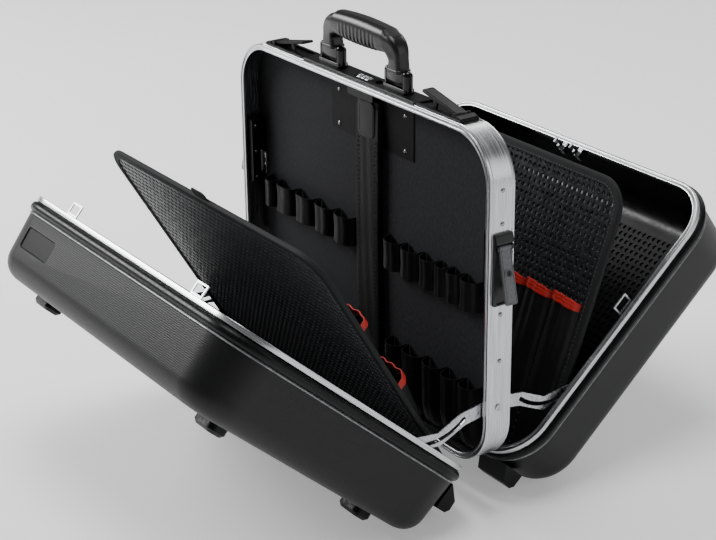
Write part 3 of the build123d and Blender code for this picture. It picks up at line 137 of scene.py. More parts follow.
def surface(name, colour, accent, grain, stretch=(1, 1, 1), detail=3.0, contrast=(0.35, 0.65), bump=0.0,
            depth=0.1, rough=(0.4, 0.5), metallic=0.0, uv=False, second=None, threads=None, **shader):
    """Principled material with one stretched noise for tint, roughness and relief.

    grain is the pattern's size and depth its relief, both in millimetres; second adds a finer
    or crossing noise as (grain, stretch, share), and threads straight lines as (pitch, share).
    """
    material = bpy.data.materials.get(name)
    if material:
        return material
    material = bpy.data.materials.new(name)
    material.use_nodes = True
    tree = material.node_tree
    tree.nodes.clear()
    coordinates = add(tree, "ShaderNodeTexCoord").outputs["UV" if uv else "Object"]

    def noise(size, along, fineness):
        scaled = add(tree, "ShaderNodeMapping", {"Vector": coordinates, "Scale": along})
        return add(tree, "ShaderNodeTexNoise", {
            "Vector": scaled.outputs["Vector"], "Scale": 1 / (size * MM), "Detail": fineness,
        }).outputs["Fac"]

    pattern = noise(grain, stretch, detail)
    if second:
        size, along, share = second
        mixed = add(tree, "ShaderNodeMix", {0: share, 2: pattern, 3: noise(size, along, 2.0)})
        pattern = mixed.outputs[0]
    if threads:
        pitch, share = threads
        # A wave texture of scale 1 repeats every pi / 10 metres.
        lines = add(tree, "ShaderNodeTexWave", {
            "Vector": coordinates, "Scale": math.pi / 10 / (pitch * MM), "Distortion": 1.6, "Detail": 1.0,
        }, bands_direction="Y")
        mixed = add(tree, "ShaderNodeMix", {0: share, 2: pattern, 3: lines.outputs["Fac"]})
        pattern = mixed.outputs[0]
    spread = add(tree, "ShaderNodeMapRange", {
        "Value": pattern, "From Min": contrast[0], "From Max": contrast[1],
    }).outputs["Result"]
    tint = add(tree, "ShaderNodeMix", {
        "Factor": spread, 6: (*linear(colour), 1), 7: (*linear(accent), 1),
    }, data_type="RGBA")
    polish = add(tree, "ShaderNodeMapRange", {"Value": spread, "To Min": rough[0], "To Max": rough[1]})
    relief = add(tree, "ShaderNodeBump", {"Height": spread, "Strength": bump, "Distance": depth * MM})
    bsdf = add(tree, "ShaderNodeBsdfPrincipled", {
        "Base Color": tint.outputs[2], "Roughness": polish.outputs["Result"],
        "Normal": relief.outputs["Normal"], "Metallic": metallic, **shader,
    })
    add(tree, "ShaderNodeOutputMaterial", {"Surface": bsdf.outputs["BSDF"]})
    return material


def brushed_aluminium():
    """Extruded, brushed and clear anodised aluminium: fine lines along the profile, soft silver."""
    # The lines are about 0.1 mm apart in fact; they are drawn 0.7 mm wide so that they show.
    return surface("brushed_anodised_aluminium", "#A4A6A9", "#DCDDDF", 0.9, (0.012, 1, 1), 4.0, (0.3, 0.68),
                   0.1, 0.04, (0.2, 0.36), 1.0, uv=True)


def moulded_abs():
    """Moulded charcoal ABS with a fine thread grain along the case."""
    # The mould's threads are 1.2 mm apart; they are drawn 2 mm apart so that they show.
    return surface("moulded_abs_thread_grain", chosen().shell_shadow, chosen().shell_colour, 1.3,
                   (0.6, 1, 1), 3.0, (0.28, 0.72), 0.5, 0.24, (0.36, 0.54), uv=True, threads=(2.0, 0.24), **{"Specular IOR Level": 0.26})


def smooth_abs():
    """The same ABS where the mould is smooth, on the bead and in the label recess."""
    return surface("moulded_abs_smooth", "#060708", "#0B0C0D", 5.0, rough=(0.3, 0.42), bump=0.05,
                   **{"Specular IOR Level": 0.17})


def polished_abs():
    """The lip's lower edge: a painted highlight, light grey and glossy, that draws a thin light line round the shell.
    """
    return surface("abs_edge_painted_highlight", "#77797C", "#8E9093", 6.0, rough=(0.2, 0.3), bump=0.02)


def tray_lining():
    """Inside of the ABS tray: the sheet's smooth black side."""
    return surface("moulded_abs_inside", "#060707", "#0A0B0B", 6.0, rough=(0.28, 0.4), bump=0.08,
                   **{"Specular IOR Level": 0.22})


def black_zinc():
    """Die-cast zinc with black stove enamel: even, softly glossy, faint orange peel."""
    return surface("black_enamelled_zinc", "#050506", "#090A0A", 2.2, bump=0.06, rough=(0.36, 0.48),
                   **{"Specular IOR Level": 0.18})


def glossy_enamel():
    """Thick glossy black enamel on the handle's ears."""
    return surface("gloss_black_enamel", "#040405", "#070708", 4.0, bump=0.03, rough=(0.1, 0.16),
                   **{"Specular IOR Level": 0.3})


def grey_zinc():
    """Die-cast zinc, satin nickel grey."""
    return surface("satin_grey_zinc", "#56585B", "#6A6C6F", 0.9, (1, 1, 0.3), bump=0.08, rough=(0.36, 0.48),
                   metallic=0.4)


def dark_plate_zinc():
    """Latch bed: the same casting, darker."""
    return surface("darker_grey_zinc", "#141516", "#1D1E20", 1.0, bump=0.1, rough=(0.4, 0.52), metallic=0.2)


def bright_steel():
    """Pressed steel with bright zinc plating, faintly mottled."""
    return surface("bright_zinc_plated_steel", "#A3A5A9", "#C2C4C7", 3.0, (1, 1, 1), 2.0, bump=0.05,
                   rough=(0.24, 0.36), metallic=1.0)


def rivet_steel():
    """Drawn and tumbled steel rivet, bright enough to mirror dark and light in its dome."""
    return surface("tumbled_steel_rivet", "#85878B", "#9A9CA0", 2.0, rough=(0.08, 0.16), bump=0.03, metallic=1.0)


def handle_plastic():
    """Moulded black nylon, spark-eroded satin grain."""
    return surface("moulded_black_nylon", "#070708", "#0B0B0C", 0.7, bump=0.14, depth=0.05, rough=(0.28, 0.4),
                   **{"Specular IOR Level": 0.42})


def matte_nylon():
    """Coarser matt field on the handle's top and ribs."""
    return surface("matt_black_nylon", "#0B0B0C", "#131314", 0.8, bump=0.3, depth=0.08, rough=(0.6, 0.75),
                   **{"Specular IOR Level": 0.35})


def board_fibre():
    """Pressed hardboard, dyed dark grey: fibres at random with a faint upright nap."""
    return surface("dyed_pressed_board", "#0F1011", "#313236", 2.3, (1, 1, 0.5), 6.0, (0.32, 0.7), 0.5, 0.2,
                   (0.7, 0.9), second=(0.7, (1, 1, 1), 0.4), **{"Specular IOR Level": 0.22})


def plate_sheet():
    """Embossed plastic sheet, a shade darker and smoother than the board."""
    return surface("embossed_dark_sheet", "#060607", "#0A0A0B", 1.2, bump=0.2, rough=(0.5, 0.65),
                   **{"Specular IOR Level": 0.12})


def pallet_plastic(shade=""):
    """Moulded polypropylene, satin dark grey; the lighter copy is painted light for the front pallet, whose face the
    lamps hardly reach, so that its lands read as a net.
    """
    low, high, polish, gloss = {
        "": ("#1D1E20", "#2A2B2E", (0.24, 0.36), 0.45),
        # Painted light: a lighter copy of the same plastic for the front pallet's poorly lit face.
        "painted_lit_": ("#36373A", "#46474B", (0.36, 0.5), 0.3),
        "black_": ("#060607", "#0B0C0C", (0.34, 0.46), 0.18),
    }[shade]
    return surface(f"satin_{shade}dark_polypropylene", low, high, 5.0, bump=0.05, rough=polish,
                   **{"Specular IOR Level": gloss})


def grey_tape():
    """Folded binding tape of coarse plain-woven polyester."""
    return surface("woven_grey_binding", "#111213", "#232426", 0.9, (0.35, 1, 1), 2.0, (0.25, 0.75), 0.5, 0.15,
                   (0.7, 0.88), uv=True, **{"Specular IOR Level": 0.3})


def vinyl():
    """Calendered black vinyl on cloth: glossy, with long soft creases."""
    return surface("glossy_black_vinyl", "#060607", "#0B0B0C", 7.0, (1, 1, 0.3), 3.0, bump=0.3, depth=0.3,
                   rough=(0.5, 0.66), **{"Specular IOR Level": 0.18})


def pocket_cloth():
    """Close-woven black nylon of the pallets' pockets."""
    return surface("woven_black_nylon", "#070708", "#0E0F10", 0.9, (1, 1, 1), 2.0, bump=0.35, depth=0.1,
                   rough=(0.5, 0.68), **{"Specular IOR Level": 0.35})


def webbing(name, colour, accent):
    """Woven strap with lengthwise ribs 1.4 mm wide."""
    return surface(name, colour, accent, 1.4, (1, 0.08, 1), 2.0, (0.3, 0.7), 0.6, 0.3, (0.55, 0.72), uv=True,
                   second=(0.8, (1, 1, 1), 0.3), **{"Specular IOR Level": 0.25})


def red_rubber_web():
    """Covered rubber elastic: red yarn over latex threads, finely ribbed along its length."""
    return surface("red_covered_elastic", chosen().elastic_shadow, chosen().elastic_colour, 0.9,
                   (1.2, 0.15, 1), 2.0, (0.3, 0.7), 0.5, 0.15, (0.5, 0.66), uv=True)


def thread(shade="grey"):
    """Twisted polyester sewing thread."""
    low, high = {"grey": ("#3A3B3E", "#4C4D50"), "black": ("#18191A", "#28292B")}[shade]
    return surface(f"{shade}_sewing_thread", low, high, 0.5, bump=0.2, rough=(0.55, 0.7))


def enamel_digits():
    """Black enamel sunk in the wheels' digits."""
    return surface("black_digit_enamel", "#050505", "#0A0A0A", 1.0, rough=(0.3, 0.4))


# ---------------------------------------------------------------- making meshes


def finish(name, mesh_or_bm, place, material, body, replaces=(), crease=38):
    """Places a mesh in metres at the origin, gives it its material and lets it ride on its body."""
    bm = mesh_or_bm
    bmesh.ops.transform(bm, matrix=Matrix.Scale(MM, 4) @ place, verts=bm.verts)
    mesh = bpy.data.meshes.new(name)
    bm.to_mesh(mesh)
    bm.free()
    return settle(name, mesh, material, body, replaces, crease)


def settle(name, mesh, material, body, replaces=(), crease=38):
    mesh.shade_smooth()
    mesh.set_sharp_from_angle(angle=math.radians(crease))
    if not mesh.materials:
        mesh.materials.append(material)
    piece = bpy.data.objects.new(name, mesh)
    bpy.context.scene.collection.objects.link(piece)
    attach(piece, body)
    if replaces:
        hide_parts(*replaces)
    return piece


def plain_mesh(piece):
    """Mesh of a piece with its modifiers applied."""
    bpy.context.view_layer.update()
    evaluated = piece.evaluated_get(bpy.context.evaluated_depsgraph_get())
    return bpy.data.meshes.new_from_object(evaluated)


def temporary(name, bm, place=Matrix.Identity(4)):
    bmesh.ops.transform(bm, matrix=Matrix.Scale(MM, 4) @ place, verts=bm.verts)
    mesh = bpy.data.meshes.new(name)
    bm.to_mesh(mesh)
    bm.free()
    helper = bpy.data.objects.new(name, mesh)
    bpy.context.scene.collection.objects.link(helper)
    return helper


def soften(points, steps=4, closed=True):
    """Profile whose corners are rounded; each point is (inset, depth, radius)."""
    result = []
    count = len(points)
    for i, (a, b, radius) in enumerate(points):
        here = Vector((a, b))
        if radius <= 0 or (not closed and i in (0, count - 1)):
            result.append(here)
            continue
        back = Vector(points[i - 1][:2]) - here
        ahead = Vector(points[(i + 1) % count][:2]) - here
        half = back.angle(ahead) / 2
        reach = min(radius / math.tan(half), 0.49 * back.length, 0.49 * ahead.length)
        radius = reach * math.tan(half)
        middle = here + (back.normalized() + ahead.normalized()).normalized() * (radius / math.sin(half))
        start = here + back.normalized() * reach - middle
        end = here + ahead.normalized() * reach - middle
        first = math.atan2(start.y, start.x)
        sweep_angle = (math.atan2(end.y, end.x) - first + math.pi) % (2 * math.pi) - math.pi
        for k in range(steps + 1):
            angle = first + sweep_angle * k / steps
            result.append(middle + Vector((math.cos(angle), math.sin(angle))) * radius)
    return result


def rounded_path(width, height, radius, steps, centre=(0.0, 0.0)):
    """Corner centre, outward direction and running length of each point round a rounded rectangle."""
    path = []
    length = 0.0
    previous = None
    x, v = width / 2 - radius, height / 2 - radius
    for cx, cv, start in ((x, v, 0), (-x, v, 90), (-x, -v, 180), (x, -v, 270)):
        for i in range(steps + 1):
            angle = math.radians(start + 90 * i / steps)
            out = Vector((math.cos(angle), math.sin(angle)))
            corner = Vector((cx + centre[0], cv + centre[1]))
            point = corner + out * radius
            if previous is not None:
                length += (point - previous).length
            path.append((corner, out, length))
            previous = point
    first = path[0][0] + path[0][1] * radius
    return path, length + (first - previous).length


def sweep(path_and_length, radius, profile, closed=True):
    """Carries a profile of (inset, depth) round a rounded path; an open profile is capped at both ends."""
    path, total = path_and_length
    bm = bmesh.new()
    uv = bm.loops.layers.uv.new("UVMap")
    rows = []
    for corner, out, _ in path:
        rows.append([bm.verts.new((*(corner + out * (radius - p.x)), p.y)) for p in profile])
    across = [0.0]
    for a, b in zip(profile, list(profile[1:]) + [profile[0]]):
        across.append(across[-1] + (b - a).length)
    spans = len(profile) if closed else len(profile) - 1
    for i, row in enumerate(rows):
        after = rows[(i + 1) % len(rows)]
        u0 = path[i][2]
        u1 = path[i + 1][2] if i + 1 < len(rows) else total
        for j in range(spans):
            k = (j + 1) % len(profile)
            face = bm.faces.new((row[j], after[j], after[k], row[k]))
            corners = ((u0, across[j]), (u1, across[j]), (u1, across[j + 1]), (u0, across[j + 1]))
            for loop, (u, v) in zip(face.loops, corners):
                loop[uv].uv = (u * MM, v * MM)
    if not closed:
        for j in (0, len(profile) - 1):
            bm.faces.new([row[j] for row in rows])
    bmesh.ops.recalc_face_normals(bm, faces=bm.faces)
    return bm


def join(target, other, place=None):
    """Adds the geometry of another mesh under construction to a first one."""
    if place is not None:
        bmesh.ops.transform(other, matrix=place, verts=other.verts)
    mesh = bpy.data.meshes.new("joining")
    other.to_mesh(mesh)
    other.free()
    target.from_mesh(mesh)
    bpy.data.meshes.remove(mesh)
    return target


def box(x0, x1, y0, y1, z0, z1, bevel=0.0, steps=2):
    bm = bmesh.new()
    centre = ((x0 + x1) / 2, (y0 + y1) / 2, (z0 + z1) / 2)
    size = Matrix.Diagonal((abs(x1 - x0), abs(y1 - y0), abs(z1 - z0), 1))
    bmesh.ops.create_cube(bm, size=1, matrix=Matrix.Translation(centre) @ size)
    if bevel:
        bmesh.ops.bevel(bm, geom=bm.edges[:], offset=bevel, segments=steps, profile=0.5, affect="EDGES")
    return bm


def prism(outline, x0, x1, bevel=0.0, steps=2):
    """Outline in (y, z) drawn out along x, its end edges bevelled."""
    bm = bmesh.new()
    ends = [[bm.verts.new((x, y, z)) for y, z in outline] for x in (x0, x1)]
    bm.faces.new(ends[0])
    bm.faces.new(ends[1])
    for i in range(len(outline)):
        j = (i + 1) % len(outline)
        bm.faces.new((ends[0][i], ends[0][j], ends[1][j], ends[1][i]))
    bmesh.ops.recalc_face_normals(bm, faces=bm.faces)
    if bevel:
        rims = [e for e in bm.edges if abs(e.verts[0].co.x - e.verts[1].co.x) < 1e-6]
        bmesh.ops.bevel(bm, geom=rims, offset=bevel, segments=steps, profile=0.5, affect="EDGES")
    return bm


def lathe(profile, steps=40):
    """Solid of revolution about z from points (radius, height); it ends on the axis."""
    bm = bmesh.new()
    rings = []
    for radius, height in profile:
        if radius < 1e-6:
            rings.append([bm.verts.new((0, 0, height))])
        else:
            angles = [2 * math.pi * i / steps for i in range(steps)]
            rings.append([bm.verts.new((radius * math.cos(a), radius * math.sin(a), height)) for a in angles])
    for low, high in zip(rings, rings[1:]):
        for i in range(steps):
            j = (i + 1) % steps
            corners = [low[i % len(low)], low[j % len(low)], high[j % len(high)], high[i % len(high)]]
            bm.faces.new(list(dict.fromkeys(corners)))
    bmesh.ops.recalc_face_normals(bm, faces=bm.faces)
    return bm


def carve(piece_bm, cutters, solver="EXACT"):
    """Cuts a joined set of cutter solids out of a solid and returns the new mesh data."""
    body = temporary("carved_body", piece_bm)
    tool = temporary("carving_tool", cutters)
    modifier = body.modifiers.new("carving", "BOOLEAN")
    modifier.operation = "DIFFERENCE"
    modifier.solver = solver
    modifier.object = tool
    mesh = plain_mesh(body)
    for helper in (body, tool):
        bpy.data.objects.remove(helper)
    bm = bmesh.new()
    bm.from_mesh(mesh)
    bpy.data.meshes.remove(mesh)
    bmesh.ops.scale(bm, vec=(1 / MM,) * 3, verts=bm.verts)
    return bm


# ---------------------------------------------------------------- geometry node trees


def new_tree(name, inputs):
    tree = bpy.data.node_groups.get(name)
    if tree:
        return tree, True
    tree = bpy.data.node_groups.new(name, "GeometryNodeTree")
    tree.interface.new_socket("Geometry", in_out="INPUT", socket_type="NodeSocketGeometry")
    for label, kind in inputs:
        tree.interface.new_socket(label, in_out="INPUT", socket_type=kind)
    tree.interface.new_socket("Geometry", in_out="OUTPUT", socket_type="NodeSocketGeometry")
    return tree, False


def close_tree(tree, geometry, material):
    real = add(tree, "GeometryNodeRealizeInstances", {"Geometry": geometry})
    dressed = add(tree, "GeometryNodeSetMaterial", {"Geometry": real.outputs["Geometry"], "Material": material})
    add(tree, "NodeGroupOutput", {"Geometry": dressed.outputs["Geometry"]})


def spread_tree():
    """Tree that sets an object on every point of a mesh, turned to the point's stored direction."""
    tree, made = new_tree("set_on_points", [
        ("Unit", "NodeSocketObject"), ("Scale", "NodeSocketFloat"), ("Material", "NodeSocketMaterial")])
    if made:
        return tree
    given = add(tree, "NodeGroupInput").outputs
    unit = add(tree, "GeometryNodeObjectInfo", {"Object": given["Unit"]})
    points = add(tree, "GeometryNodeMeshToPoints", {"Mesh": given["Geometry"]})
    out = add(tree, "GeometryNodeInputNamedAttribute", {"Name": "out"}, data_type="FLOAT_VECTOR")
    along = add(tree, "GeometryNodeInputNamedAttribute", {"Name": "along"}, data_type="FLOAT_VECTOR")
    upright = add(tree, "FunctionNodeAlignRotationToVector", {"Vector": out.outputs["Attribute"]}, axis="Z")
    turned = add(tree, "FunctionNodeAlignRotationToVector", {
        "Rotation": upright.outputs["Rotation"], "Vector": along.outputs["Attribute"]}, axis="X", pivot_axis="Z")
    placed = add(tree, "GeometryNodeInstanceOnPoints", {
        "Points": points.outputs["Points"], "Instance": unit.outputs["Geometry"],
        "Rotation": turned.outputs["Rotation"], "Scale": given["Scale"]})
    close_tree(tree, placed.outputs["Instances"], given["Material"])
    return tree


def perforation_tree():
    """Tree that fills a rounded field with a square grid of cells."""
    tree, made = new_tree("perforation_grid", [
        ("Cell", "NodeSocketObject"), ("Width", "NodeSocketFloat"), ("Height", "NodeSocketFloat"),
        ("Corner", "NodeSocketFloat"), ("Pitch Along", "NodeSocketFloat"), ("Pitch Up", "NodeSocketFloat"),
        ("Material", "NodeSocketMaterial")])
    if made:
        return tree
    given = add(tree, "NodeGroupInput").outputs

    def maths(operation, first, second=0.0):
        return add(tree, "ShaderNodeMath", {0: first, 1: second}, operation=operation).outputs[0]

    def count_and_size(size, pitch):
        gaps = maths("FLOOR", maths("DIVIDE", size, pitch))
        return maths("ADD", gaps, 1.0), maths("MULTIPLY", gaps, pitch)

    columns, long = count_and_size(given["Width"], given["Pitch Along"])
    rows, wide = count_and_size(given["Height"], given["Pitch Up"])
    field = add(tree, "GeometryNodeMeshGrid", {
        "Size X": long, "Size Y": wide, "Vertices X": columns, "Vertices Y": rows})
    position = add(tree, "GeometryNodeInputPosition").outputs["Position"]
    parts = add(tree, "ShaderNodeSeparateXYZ", {"Vector": position}).outputs

    def beyond(value, size):
        inner = maths("SUBTRACT", maths("MULTIPLY", size, 0.5), given["Corner"])
        return maths("MAXIMUM", maths("SUBTRACT", maths("ABSOLUTE", value), inner), 0.0)

    over_x, over_y = beyond(parts["X"], given["Width"]), beyond(parts["Y"], given["Height"])
    reach = maths("SQRT", maths("ADD", maths("MULTIPLY", over_x, over_x), maths("MULTIPLY", over_y, over_y)))
    outside = maths("GREATER_THAN", reach, given["Corner"])
    kept = add(tree, "GeometryNodeDeleteGeometry", {
        "Geometry": field.outputs["Mesh"], "Selection": outside}, domain="POINT")
    points = add(tree, "GeometryNodeMeshToPoints", {"Mesh": kept.outputs["Geometry"]})
    unit = add(tree, "GeometryNodeObjectInfo", {"Object": given["Cell"]})
    placed = add(tree, "GeometryNodeInstanceOnPoints", {
        "Points": points.outputs["Points"], "Instance": unit.outputs["Geometry"]})
    close_tree(tree, placed.outputs["Instances"], given["Material"])
    return tree


def run_tree(carrier, tree, values):
    """Runs a tree on a carrier object with values set by socket identifier; returns a plain mesh."""
    modifier = carrier.modifiers.new("pattern", "NODES")
    modifier.node_group = tree
    for item in tree.interface.items_tree:
        if item.item_type == "SOCKET" and item.in_out == "INPUT" and item.name in values:
            modifier[item.identifier] = values[item.name]
    mesh = plain_mesh(carrier)
    carrier.modifiers.remove(modifier)
    return mesh


def set_on_points(name, spots, unit_bm, material, body, replaces=(), scale=1.0, crease=38):
    """Repeats one small solid at spots of (point, outward direction, lengthwise direction) in world mm."""
    unit = temporary("unit", unit_bm)
    carrier_mesh = bpy.data.meshes.new("spots")
    carrier_mesh.from_pydata([Vector(p) * MM for p, _, _ in spots], [], [])
    for label, index in (("out", 1), ("along", 2)):
        layer = carrier_mesh.attributes.new(label, "FLOAT_VECTOR", "POINT")
        layer.data.foreach_set("vector", [c for spot in spots for c in Vector(spot[index])])
    carrier = bpy.data.objects.new("spots", carrier_mesh)
    bpy.context.scene.collection.objects.link(carrier)
    mesh = run_tree(carrier, spread_tree(), {"Unit": unit, "Scale": scale, "Material": material})
    for helper in (carrier, unit):
        bpy.data.objects.remove(helper)
    mesh.name = name
    return settle(name, mesh, material, body, replaces, crease)


def spot(place, point, out=(0, 0, 1), along=(1, 0, 0)):
    """A spot given in local axes, turned to world axes."""
    turned = place.to_3x3()
    return place @ Vector(point), turned @ Vector(out), turned @ Vector(along)


# ---------------------------------------------------------------- settings


class ToolCaseSizes(bpy.types.PropertyGroup):
    """Sizes and colours that a user may change."""

    hole_pitch: bpy.props.FloatProperty(
        name="Perforation pitch", description="Distance between holes along a pallet",
        default=0.0083, min=0.006, max=0.02, precision=4, unit="LENGTH")
    row_pitch: bpy.props.FloatProperty(
        name="Row pitch", description="Distance between rows of holes",
        default=0.0085, min=0.005, max=0.02, precision=4, unit="LENGTH")
    hole_size: bpy.props.FloatProperty(
        name="Hole size", description="Width of a hole at the sheet's surface",
        default=0.0058, min=0.002, max=0.009, precision=4, unit="LENGTH")
    stitch_pitch: bpy.props.FloatProperty(
        name="Stitch pitch", description="Distance between stitches",
        default=0.005, min=0.002, max=0.012, precision=4, unit="LENGTH")
    stitch_length: bpy.props.FloatProperty(
        name="Stitch length", description="Length of one stitch",
        default=0.0032, min=0.001, max=0.01, precision=4, unit="LENGTH")
    rivet_radius: bpy.props.FloatProperty(
        name="Rivet radius", description="Radius of a rivet's head",
        default=0.0026, min=0.001, max=0.004, precision=4, unit="LENGTH")
    rib_pitch: bpy.props.FloatProperty(
        name="Finger rib pitch", description="Distance between the handle's ribs",
        default=0.007, min=0.004, max=0.014, precision=4, unit="LENGTH")
    rib_height: bpy.props.FloatProperty(
        name="Finger rib height", description="How far the handle's ribs stand proud",
        default=0.00045, min=0, max=0.002, precision=5, unit="LENGTH")
    pleat_depth: bpy.props.FloatProperty(
        name="Pleat depth", description="Depth of the gathers at the pockets' mouths",
        default=0.0009, min=0, max=0.003, precision=4, unit="LENGTH")
    seed: bpy.props.IntProperty(
        name="Fold seed", description="Seed of the small differences between loops and between pockets", default=7)
    shell_colour: bpy.props.FloatVectorProperty(
        name="Shell colour", description="Colour of the shells' moulded grain", subtype="COLOR", min=0, max=1,
        default=linear("#111213"))
    shell_shadow: bpy.props.FloatVectorProperty(
        name="Shell shadow", description="Darker tint between the shells' threads", subtype="COLOR", min=0, max=1,
        default=linear("#070708"))
    elastic_colour: bpy.props.FloatVectorProperty(
        name="Elastic colour", description="Colour of the pockets' elastic", subtype="COLOR", min=0, max=1,
        default=linear("#C9261C"))
    elastic_shadow: bpy.props.FloatVectorProperty(
        name="Elastic shadow", description="Darker tint between the elastic's ribs", subtype="COLOR", min=0,
        max=1, default=linear("#9E120D"))

    def mm(self, name):
        """A length setting in millimetres."""
        return getattr(self, name) / MM


# ---------------------------------------------------------------- middle frame


def hook_middle(name):
    return 36.5 if name.startswith("top") else 44.0


class TOOLCASE_OT_frame_band(bpy.types.Operator):
    """Grooved aluminium band of the middle frame"""

    bl_idname = "toolcase.frame_band"
    bl_label = "Frame Band"

    def execute(self, context):
        face = [(0, 16, 0.7), (2.4, 16, 0.35), (2.4, 14.8, 0), (4.6, 14.8, 0), (4.6, 16, 0.35), (7, 16, 0.7),
                (7, 12, 0.4), (1.6, 12, 0.3)]
        line = [(0, 11.5, 0), (0.5, 11.9, 0), (0.5, 12.5, 0), (0, 12.9, 0)]
        near = line + face
        far = [(a, -b, r) for a, b, r in reversed(near)]
        profile = soften(near + far, 3)
        path = rounded_path(CASE_WIDTH, CASE_HEIGHT, CORNER_RADIUS, 14, (0, CASE_HEIGHT / 2))
        bm = sweep(path, CORNER_RADIUS, profile)
        to_band = BAND_AXES.inverted()
        cutters = bmesh.new()
        for name, (place, side, _) in LATCHES.items():
            a0 = hook_middle(name) - 8.5
            b0 = side * 5.25 - 2.3
            join(cutters, box(a0, a0 + 17, b0, b0 + 4.6, -14, 3), to_band @ place)
        join(cutters, box(-16.4, 16.4, -5.8, 5.8, 371, 376), to_band @ STANDING)
        join(cutters, box(238, 241, -17, 17, 23.8, 24.1), to_band @ STANDING)
        bm = carve(bm, cutters)
        finish("grooved_frame_band", bm, BAND_AXES, brushed_aluminium(), "frame",
               ["frame_band"], 30)
        return {"FINISHED"}


class TOOLCASE_OT_rivets(bpy.types.Operator):
    """Domed rivets of the bands, the housings and the board's plate, and the screws of the lid stays"""

    bl_idname = "toolcase.rivets"
    bl_label = "Rivets and Screws"

    def execute(self, context):
        size = context.scene.tool_case
        radius = size.mm("rivet_radius")
        dome = [(0, -0.4), (radius, -0.4), (radius, 0.15)]
        dome += [(radius * math.cos(a), 0.15 + 1.3 * math.sin(a)) for a in (0.35, 0.7, 1.05, 1.3)]
        dome += [(0, 1.45)]
        spots = []
        for side in (-1, 1):
            for drop in (245.0, 192.5, 93.0, 57.0):
                spots.append(spot(STANDING, (side * 240, 0, 375 - drop), (side, 0, 0), (0, 0, 1)))
            for drop in (67.0, 27.0):
                spots.append(spot(STANDING, (side * 63, 8, 375 - drop), (0, -1, 0)))
        set_on_points("domed_rivets", spots, lathe(dome, 20), rivet_steel(), "frame", ["rivets"])
        small = [(0, -0.3), (1.5, -0.3), (1.5, 0.3), (1.1, 0.75), (0, 0.95)]
        inside = []
        for side in (-1, 1):
            for z in (200.0, 232.0, 264.0):
                inside.append(spot(STANDING, (side * 224.4, -6.5, z), (-side, 0, 0), (0, 0, 1)))
        for side, start, pitches in LOOP_ROWS:
            for x in valley_places(start, pitches):
                for z in (LOOP_LOW + 4.5, LOOP_LOW + LOOP_HEIGHT - 4.5):
                    inside.append(spot(STANDING, (side * x, BOARD_FRONT_Y - 1.4, z), (0, -1, 0)))
        set_on_points("small_rivets", inside, lathe(small, 12), bright_steel(), "frame")
        head = lathe([(0, -0.4), (4.0, -0.4), (4.0, 0.6), (3.3, 1.35), (1.6, 1.5), (0, 1.5)], 28)
        quarter = [(2.2, -0.45), (2.2, 0.45), (0.45, 0.45)]
        cross = [turn(90 * k, "Z") @ Vector((a, b, 0)) for k in range(4) for a, b in quarter]
        cutter = join(bmesh.new(), prism([(p.x, p.y) for p in cross], 0.8, 3), turn(-90, "Y"))
        screws = [spot(STANDING, (side * 240, 0, 76), (side, 0, 0), (0, 0.4, 1)) for side in (-1, 1)]
        set_on_points("cross_head_screws", screws, carve(head, cutter), bright_steel(), "frame")
        return {"FINISHED"}


class TOOLCASE_OT_cad_finishes(bpy.types.Operator):
    """Materials of the rigid pieces that keep their own surfaces"""

    bl_idname = "toolcase.cad_finishes"
    bl_label = "Rigid Piece Finishes"

    def execute(self, context):
        finishes = {
            board_fibre(): ["tool_board"],
            plate_sheet(): ["board_plate"],
            black_zinc(): ["latch_housings", "lock_housing", "handle_plate", "top_latch_bases", "lock_slide",
                           "pivot_pins"],
            dark_plate_zinc(): ["side_latch_bases", "side_left_lock_plug", "side_right_lock_plug"],
            bright_steel(): ["wheel_axle", "stay_pivots", "frame_hinge_leaves", "hinge_pins",
                             "front_keepers", "rear_keepers", "front_hinge_leaves", "rear_hinge_leaves",
                             "front_stay_pins", "rear_stay_pins", "front_left_stay", "front_right_stay",
                             "rear_left_stay", "rear_right_stay"],
            smooth_abs(): ["front_feet", "rear_feet"],
        }
        for material, names in finishes.items():
            for name in names:
                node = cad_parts[name]
                if not node.material_slots:
                    node.data.materials.append(material)
                for held in node.material_slots:
                    held.material = material
        return {"FINISHED"}


# ---------------------------------------------------------------- loops, pockets and strap

LOOP_LOW = 170.0
LOOP_HEIGHT = 34.5
LOOP_BULGE = 17.0
POCKET_LOW = 10.0
POCKET_HEIGHT = 73.0
POCKET_BULGE = 19.0
VALLEY = 3.0
LOOP_ROWS = [(-1, 28.0, (37.0, 41.0, 41.0, 41.0, 22.0)), (1, 34.0, (33.0, 33.0, 30.0, 22.0, 22.0, 30.0))]
POCKET_PITCHES = (29.0, 38.0, 36.0, 32.0, 30.0)


def valley_places(start, pitches):
    places = [start]
    for pitch in pitches:
        places.append(places[-1] + pitch)
    return places


